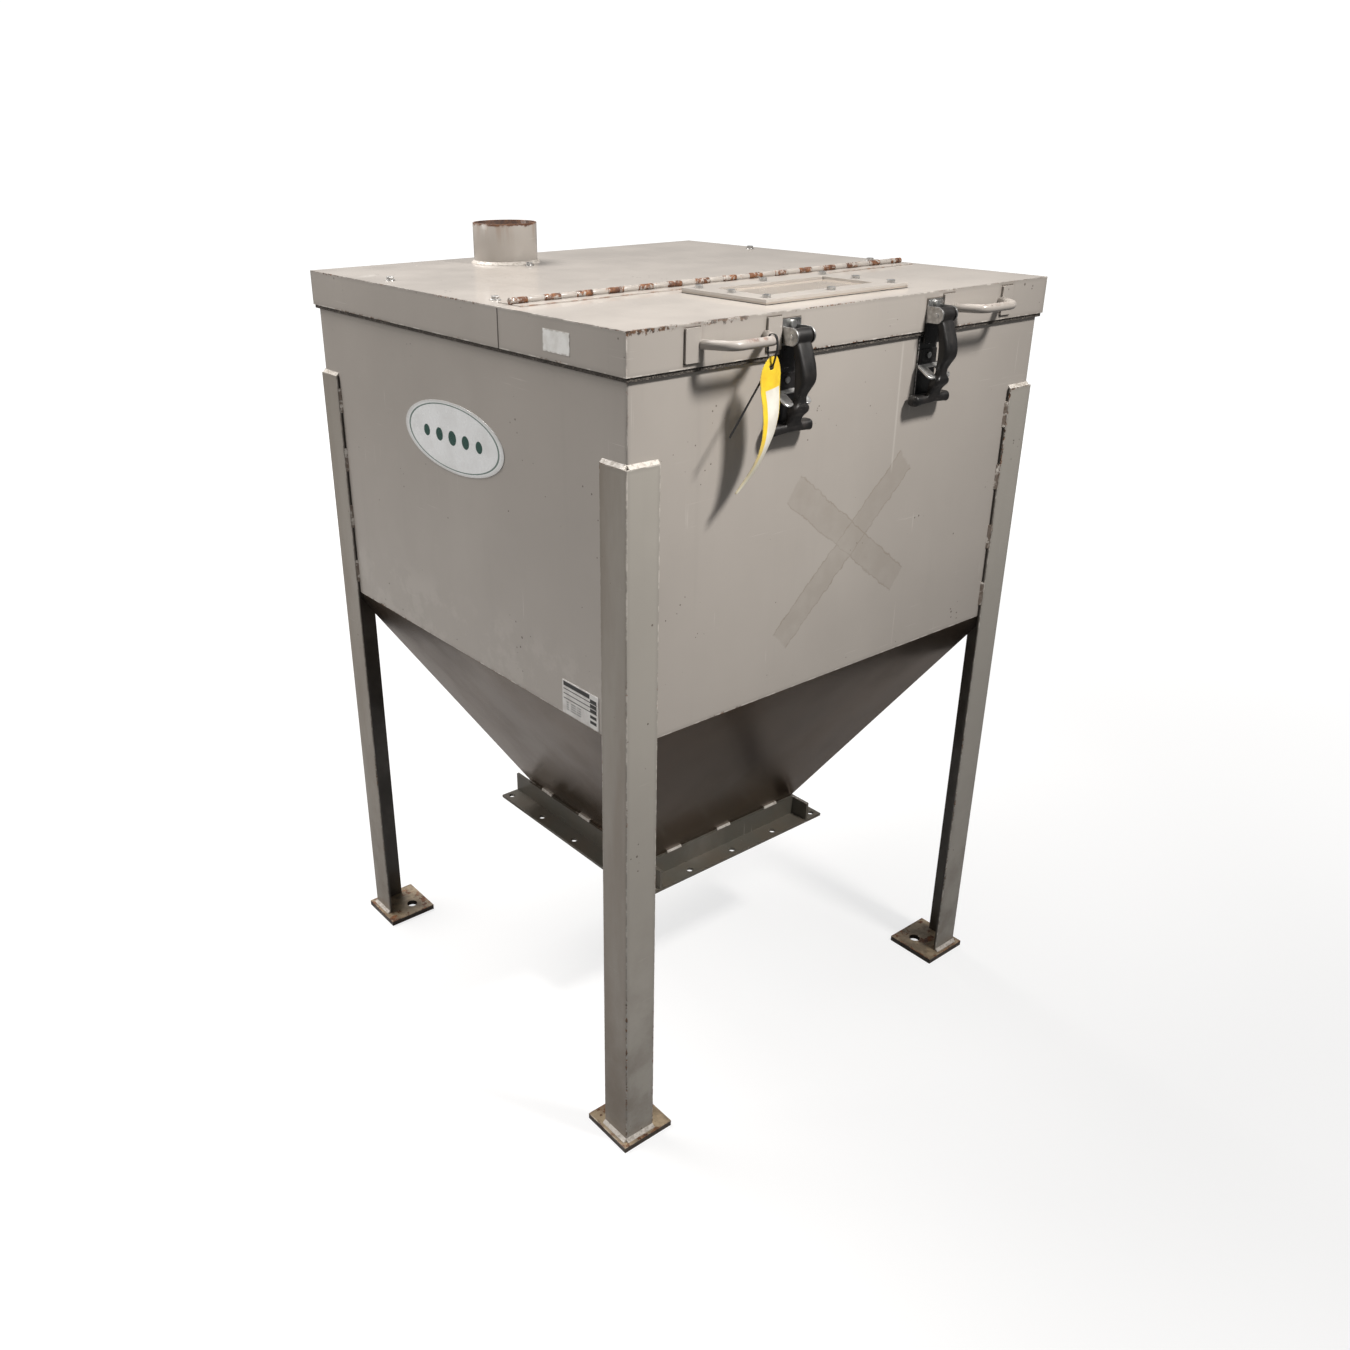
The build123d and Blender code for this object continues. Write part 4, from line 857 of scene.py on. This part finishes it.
def strap(side, body, node):
    """A rubber strap hooked over its keeper, with a barrel round the pin and a T grip."""
    box_low, box_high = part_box(node)
    pins_low, pins_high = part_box("latch_pins")
    pin_y, pin_z = (pins_low.y + pins_high.y) / 2, (pins_low.z + pins_high.z) / 2
    x = (box_low.x + box_high.x) / 2
    barrel = 0.0096
    # down the strap: distance out from the pin, height from it, half width, half thickness, lean in degrees
    stations = [(-0.0005, -0.004, 0.0125, 0.0060, 0), (-0.0045, -0.012, 0.0128, 0.0068, 12),
                (-0.0080, -0.022, 0.0130, 0.0074, 14), (-0.0110, -0.034, 0.0131, 0.0080, 6),
                (-0.0125, -0.046, 0.0130, 0.0083, -4), (-0.0115, -0.056, 0.0125, 0.0080, -16),
                (-0.0080, -0.065, 0.0108, 0.0066, -28), (-0.0055, -0.0715, 0.0082, 0.0052, -18),
                (-0.0045, -0.0775, 0.0088, 0.0058, 0), (-0.0035, -0.0840, 0.0135, 0.0080, -6),
                (-0.0020, -0.0910, 0.0140, 0.0082, -14), (0.0015, -0.0975, 0.0115, 0.0066, -24),
                (0.0045, -0.1030, 0.0112, 0.0056, -20), (0.0062, -0.1070, 0.0140, 0.0058, -8)]
    samples = 4
    smooth_line = catmull([(s[0], s[1], s[2]) for s in stations], samples)
    smooth_rest = catmull([(s[3], s[4] / 1000, 0) for s in stations], samples)
    rings = []
    for a, b in zip(smooth_line, smooth_rest):
        lean = radians(b.y * 1000)
        ring = []
        for u, v in rounded(a.z, b.x, min(a.z, b.x) * 0.62):
            # a shallow channel down the outer face
            channel = 0.0011 * max(0.0, 1 - (abs(u) / (a.z * 0.55)) ** 4) if v < 0 and a.y > -0.062 else 0.0
            out = Vector((0, cos(lean), sin(lean))) * (v + channel)
            ring.append(Vector((x + u, pin_y + a.x, pin_z + a.y)) + out)
        rings.append(ring)
    verts, faces = loft(rings)
    # the barrel round the pin, with soft ends
    start = len(verts)
    half = 0.0130
    profile = [(-half, 0.0034), (-half, 0.0078), (-half + 0.0006, 0.0091), (-half + 0.0018, barrel),
               (half - 0.0018, barrel), (half - 0.0006, 0.0091), (half, 0.0078), (half, 0.0034)]
    turns = 32
    for dx, radius in profile:
        for k in range(turns):
            angle = 2 * pi * k / turns
            verts.append(Vector((x + dx, pin_y + radius * cos(angle), pin_z + radius * sin(angle))))
    for r in range(len(profile)):
        for k in range(turns):
            a = start + r * turns + k
            b = start + r * turns + (k + 1) % turns
            c = start + ((r + 1) % len(profile)) * turns
            faces.append((a, b, c + (k + 1) % turns, c + k))
    # the T grip: a bar with swollen ends
    grip_y, grip_z = pin_y + 0.0108, pin_z - 0.1100
    bar = []
    for n in range(17):
        along = -1 + n / 8
        swell = 0.0056 + 0.0020 * abs(along) ** 2 - 0.0044 * max(0.0, abs(along) - 0.88) / 0.12
        deep = 0.0100 - 0.0008 * abs(along) - 0.0055 * max(0.0, abs(along) - 0.88) / 0.12
        sag = -0.0012 * abs(along) ** 2
        bar.append([Vector((x + along * 0.0375, grip_y + v, grip_z + u + sag))
                    for u, v in rounded(swell, deep, swell * 0.8)])
    join(verts, faces, *loft(bar))
    piece = new_piece(f"rubber_strap_{side}", verts, faces, strap_finish, body, "strap_rubber", node)
    # one skin over the three shapes
    remesh = piece.modifiers.new("remesh", "REMESH")
    remesh.mode = "VOXEL"
    remesh.voxel_size = 0.0009
    remesh.use_smooth_shade = True
    smoothing = piece.modifiers.new("smooth", "SMOOTH")
    smoothing.factor = 0.5
    smoothing.iterations = 5


strap("left", "latch_left", "latch_strap_left")
strap("right", "latch_right", "latch_strap_right")


# ---- inventory tag ----
# the hole's centre, from the top of the tag, and its radius
HOLE_DROP = 0.012
HOLE_RADIUS = 0.0036


def tag():
    """A thin card that curls and twists as it hangs, with a hole near its top."""
    finish = tag_card()
    centre_x, face_y, _ = tag_pivot
    top = tag_high.z
    # down the tag: share of its length, sideways, out from its plane, half width, twist in degrees
    stations = [(0.000, 0.002, 0.0000, 0.0055, 0), (0.030, 0.001, 0.0000, 0.0100, 0),
                (0.085, 0.000, 0.0000, 0.0150, 1), (0.150, 0.000, 0.0002, 0.0176, 3),
                (0.240, 0.001, 0.0000, 0.0179, 6), (0.350, 0.003, -0.0015, 0.0178, 10),
                (0.470, 0.003, -0.0030, 0.0176, 15), (0.590, 0.000, -0.0030, 0.0168, 20),
                (0.700, -0.006, -0.0015, 0.0150, 24), (0.810, -0.015, 0.0010, 0.0118, 22),
                (0.900, -0.026, 0.0035, 0.0078, 16), (1.000, -0.041, 0.0065, 0.0018, 10)]
    steps = 6
    places = catmull([(s[0], s[1], s[2]) for s in stations], steps)
    shapes = catmull([(s[3], s[4] / 1000, 0) for s in stations], steps)
    columns = 12
    length = tag_high.z - tag_low.z
    rows = []
    along_values, across_values = [], []
    for place, shape in zip(places, shapes):
        twist = radians(shape.y * 1000)
        wide_way, thick_way = Vector((cos(twist), sin(twist), 0)), Vector((-sin(twist), cos(twist), 0))
        row = []
        for c in range(columns + 1):
            across = -1 + 2 * c / columns
            curl = 0.0028 * (across ** 2) * min(1.0, place.x * 2.0)
            offset = wide_way * across * shape.x + thick_way * curl
            row.append(Vector((centre_x + place.y, face_y + place.z, top - place.x * length)) + offset)
            along_values.append(place.x)
            across_values.append(across)
        rows.append(row)
    verts = [p for row in rows for p in row]
    wide = columns + 1
    hole = Vector((centre_x, top - HOLE_DROP))
    faces = []
    for r in range(len(rows) - 1):
        for c in range(columns):
            quad = (r * wide + c, r * wide + c + 1, (r + 1) * wide + c + 1, (r + 1) * wide + c)
            spot = sum((verts[i] for i in quad), Vector()) / 4
            if (Vector((spot.x, spot.z)) - hole).length > HOLE_RADIUS:
                faces.append(quad)
    piece = new_piece("hanging_tag", verts, faces, finish, "tag", "tag_card", "inventory_tag")
    for key, values in (("along", along_values), ("across", across_values)):
        attribute = piece.data.attributes.new(key, "FLOAT", "POINT")
        attribute.data.foreach_set("value", values)
    # round the hole: its border's points are drawn onto a circle
    for vertex in piece.data.vertices:
        away = Vector((vertex.co.x, vertex.co.z)) - hole
        if 0.0001 < away.length < HOLE_RADIUS + 0.001:
            away = away.normalized() * HOLE_RADIUS
            vertex.co.x, vertex.co.z = hole.x + away.x, hole.y + away.y
    thick = piece.modifiers.new("thickness", "SOLIDIFY")
    thick.thickness = 0.0006
    thick.offset = 0.0
    soft = piece.modifiers.new("subdivision", "SUBSURF")
    soft.levels = soft.render_levels = 1


tag()


# ---- cable tie ----
def ribbon(line, across, width, thickness):
    """Rings of a flat strip along line. across is the direction of its width."""
    rings = []
    for i, point in enumerate(line):
        run = (line[min(i + 1, len(line) - 1)] - line[max(i - 1, 0)]).normalized()
        side = (across - run * across.dot(run)).normalized()
        out = run.cross(side)
        rings.append([point + side * u * width / 2 + out * v * thickness / 2
                      for u, v in ((-1, -1), (1, -1), (1, 1), (-1, 1))])
    return rings


def cable_tie():
    """A thin tie from the tag's hole, over the grip and back, with its head and a long tail."""
    tie_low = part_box("tag_tie")[0]
    x, grip_y, grip_z = tag_pivot
    hole_z = tag_high.z - HOLE_DROP
    loop = [(x, grip_y + 0.0030, hole_z + 0.004), (x, grip_y + 0.0066, hole_z + 0.014),
            (x, grip_y + 0.0078, grip_z - 0.004), (x, grip_y + 0.0058, grip_z + 0.0052),
            (x, grip_y, grip_z + 0.0074), (x, grip_y - 0.0058, grip_z + 0.0048),
            (x, grip_y - 0.0076, grip_z - 0.005), (x, grip_y - 0.0060, grip_z - 0.015),
            (x, grip_y - 0.0030, hole_z + 0.005), (x, grip_y - 0.0006, hole_z + 0.0006),
            (x, grip_y + 0.0030, hole_z + 0.002)]
    verts, faces = loft(ribbon(catmull(loop, 5), Vector((1, 0, 0)), 0.0024, 0.0010))
    end = (tie_low.x + 0.001, grip_y + 0.0016, tie_low.z + 0.001)
    tail = [(x - 0.001, grip_y + 0.0022, hole_z + 0.004), (x - 0.012, grip_y + 0.0024, hole_z - 0.012),
            (x - 0.034, grip_y + 0.0030, hole_z - 0.041), end]
    join(verts, faces, *loft(ribbon(catmull(tail, 6), Vector((1, 0, 0.4)), 0.0024, 0.0010)))
    # the head that the tail passes through
    rings = []
    for height, scale in ((-0.0026, 0.72), (-0.0020, 1.0), (0.0020, 1.0), (0.0026, 0.72)):
        rings.append([Vector((x + u * scale, grip_y + 0.0030 + v * scale, hole_z + 0.005 + height))
                      for u, v in rounded(0.0026, 0.0019, 0.0006, 3)])
    join(verts, faces, *loft(rings))
    new_piece("cable_tie", verts, faces, nylon(), "tag", "tie_nylon", "tag_tie", smooth=False)


cable_tie()

# ---- floor, light ----
floor_mesh = bpy.data.meshes.new("floor")
reach = 30.0
floor_corners = [(-reach, -reach, 0), (reach, -reach, 0), (reach, reach, 0), (-reach, reach, 0)]
floor_mesh.from_pydata(floor_corners, [], [(0, 1, 2, 3)])
floor = bpy.data.objects.new("floor", floor_mesh)
scene.collection.objects.link(floor)
ground = Graph("floor")
ground.set(Base_Color=(0.30, 0.30, 0.30), Roughness=0.9)
floor_mesh.materials.append(ground.material)
# the camera sees a paler floor than the one that lights the bin from below, so that its underside stays dark
tree = ground.tree
pale = tree.nodes.new("ShaderNodeBsdfDiffuse")
pale.inputs["Color"].default_value = (0.30, 0.30, 0.30, 1.0)
glow = tree.nodes.new("ShaderNodeEmission")
away = ground.length(ground.x, ground.y)
tree.links.new(ground.ramp(away, 1.0, 4.5, 0.72, 1.05), glow.inputs["Strength"])
both = tree.nodes.new("ShaderNodeAddShader")
tree.links.new(pale.outputs[0], both.inputs[0])
tree.links.new(glow.outputs[0], both.inputs[1])
seen = tree.nodes.new("ShaderNodeMixShader")
tree.links.new(tree.nodes.new("ShaderNodeLightPath").outputs["Is Camera Ray"], seen.inputs[0])
tree.links.new(ground.shader.outputs[0], seen.inputs[1])
tree.links.new(both.outputs[0], seen.inputs[2])
tree.links.new(seen.outputs[0], ground.output.inputs["Surface"])

world = bpy.data.worlds.new("studio")
scene.world = world
world.use_nodes = True
sky = world.node_tree
dim = sky.nodes["Background"]
dim.inputs["Strength"].default_value = 0.22
white = sky.nodes.new("ShaderNodeBackground")
white.inputs["Color"].default_value = dim.inputs["Color"].default_value = (1.0, 1.0, 1.0, 1.0)
white.inputs["Strength"].default_value = 1.05
seen = sky.nodes.new("ShaderNodeMixShader")
sky.links.new(sky.nodes.new("ShaderNodeLightPath").outputs["Is Camera Ray"], seen.inputs[0])
sky.links.new(dim.outputs[0], seen.inputs[1])
sky.links.new(white.outputs[0], seen.inputs[2])
sky.links.new(seen.outputs[0], sky.nodes["World Output"].inputs["Surface"])


def softbox(name, place, target, size, power, tint, spread=180.0):
    lamp = bpy.data.lights.new(name, "AREA")
    lamp.shape = "RECTANGLE"
    lamp.size, lamp.size_y = size
    lamp.energy = power
    lamp.color = tint
    lamp.spread = radians(spread)
    holder = bpy.data.objects.new(name, lamp)
    scene.collection.objects.link(holder)
    holder.location = place
    holder.rotation_mode = "QUATERNION"
    holder.rotation_quaternion = (Vector(target) - Vector(place)).to_track_quat("-Z", "Y")


softbox("key", (0.40, -1.70, 2.75), (-0.19, -0.35, 1.04), (0.34, 0.34), 10.2, (1.0, 0.968, 0.935), 66.0)
softbox("top", (-0.6, 2.1, 4.1), (0, 0.3, 1.1), (3.0, 2.2), 220, (1.0, 0.968, 0.94))
softbox("left_fill", (-2.2, 1.2, 2.1), (-0.2, 0.25, 0.9), (1.1, 1.1), 20, (1.0, 0.96, 0.92))
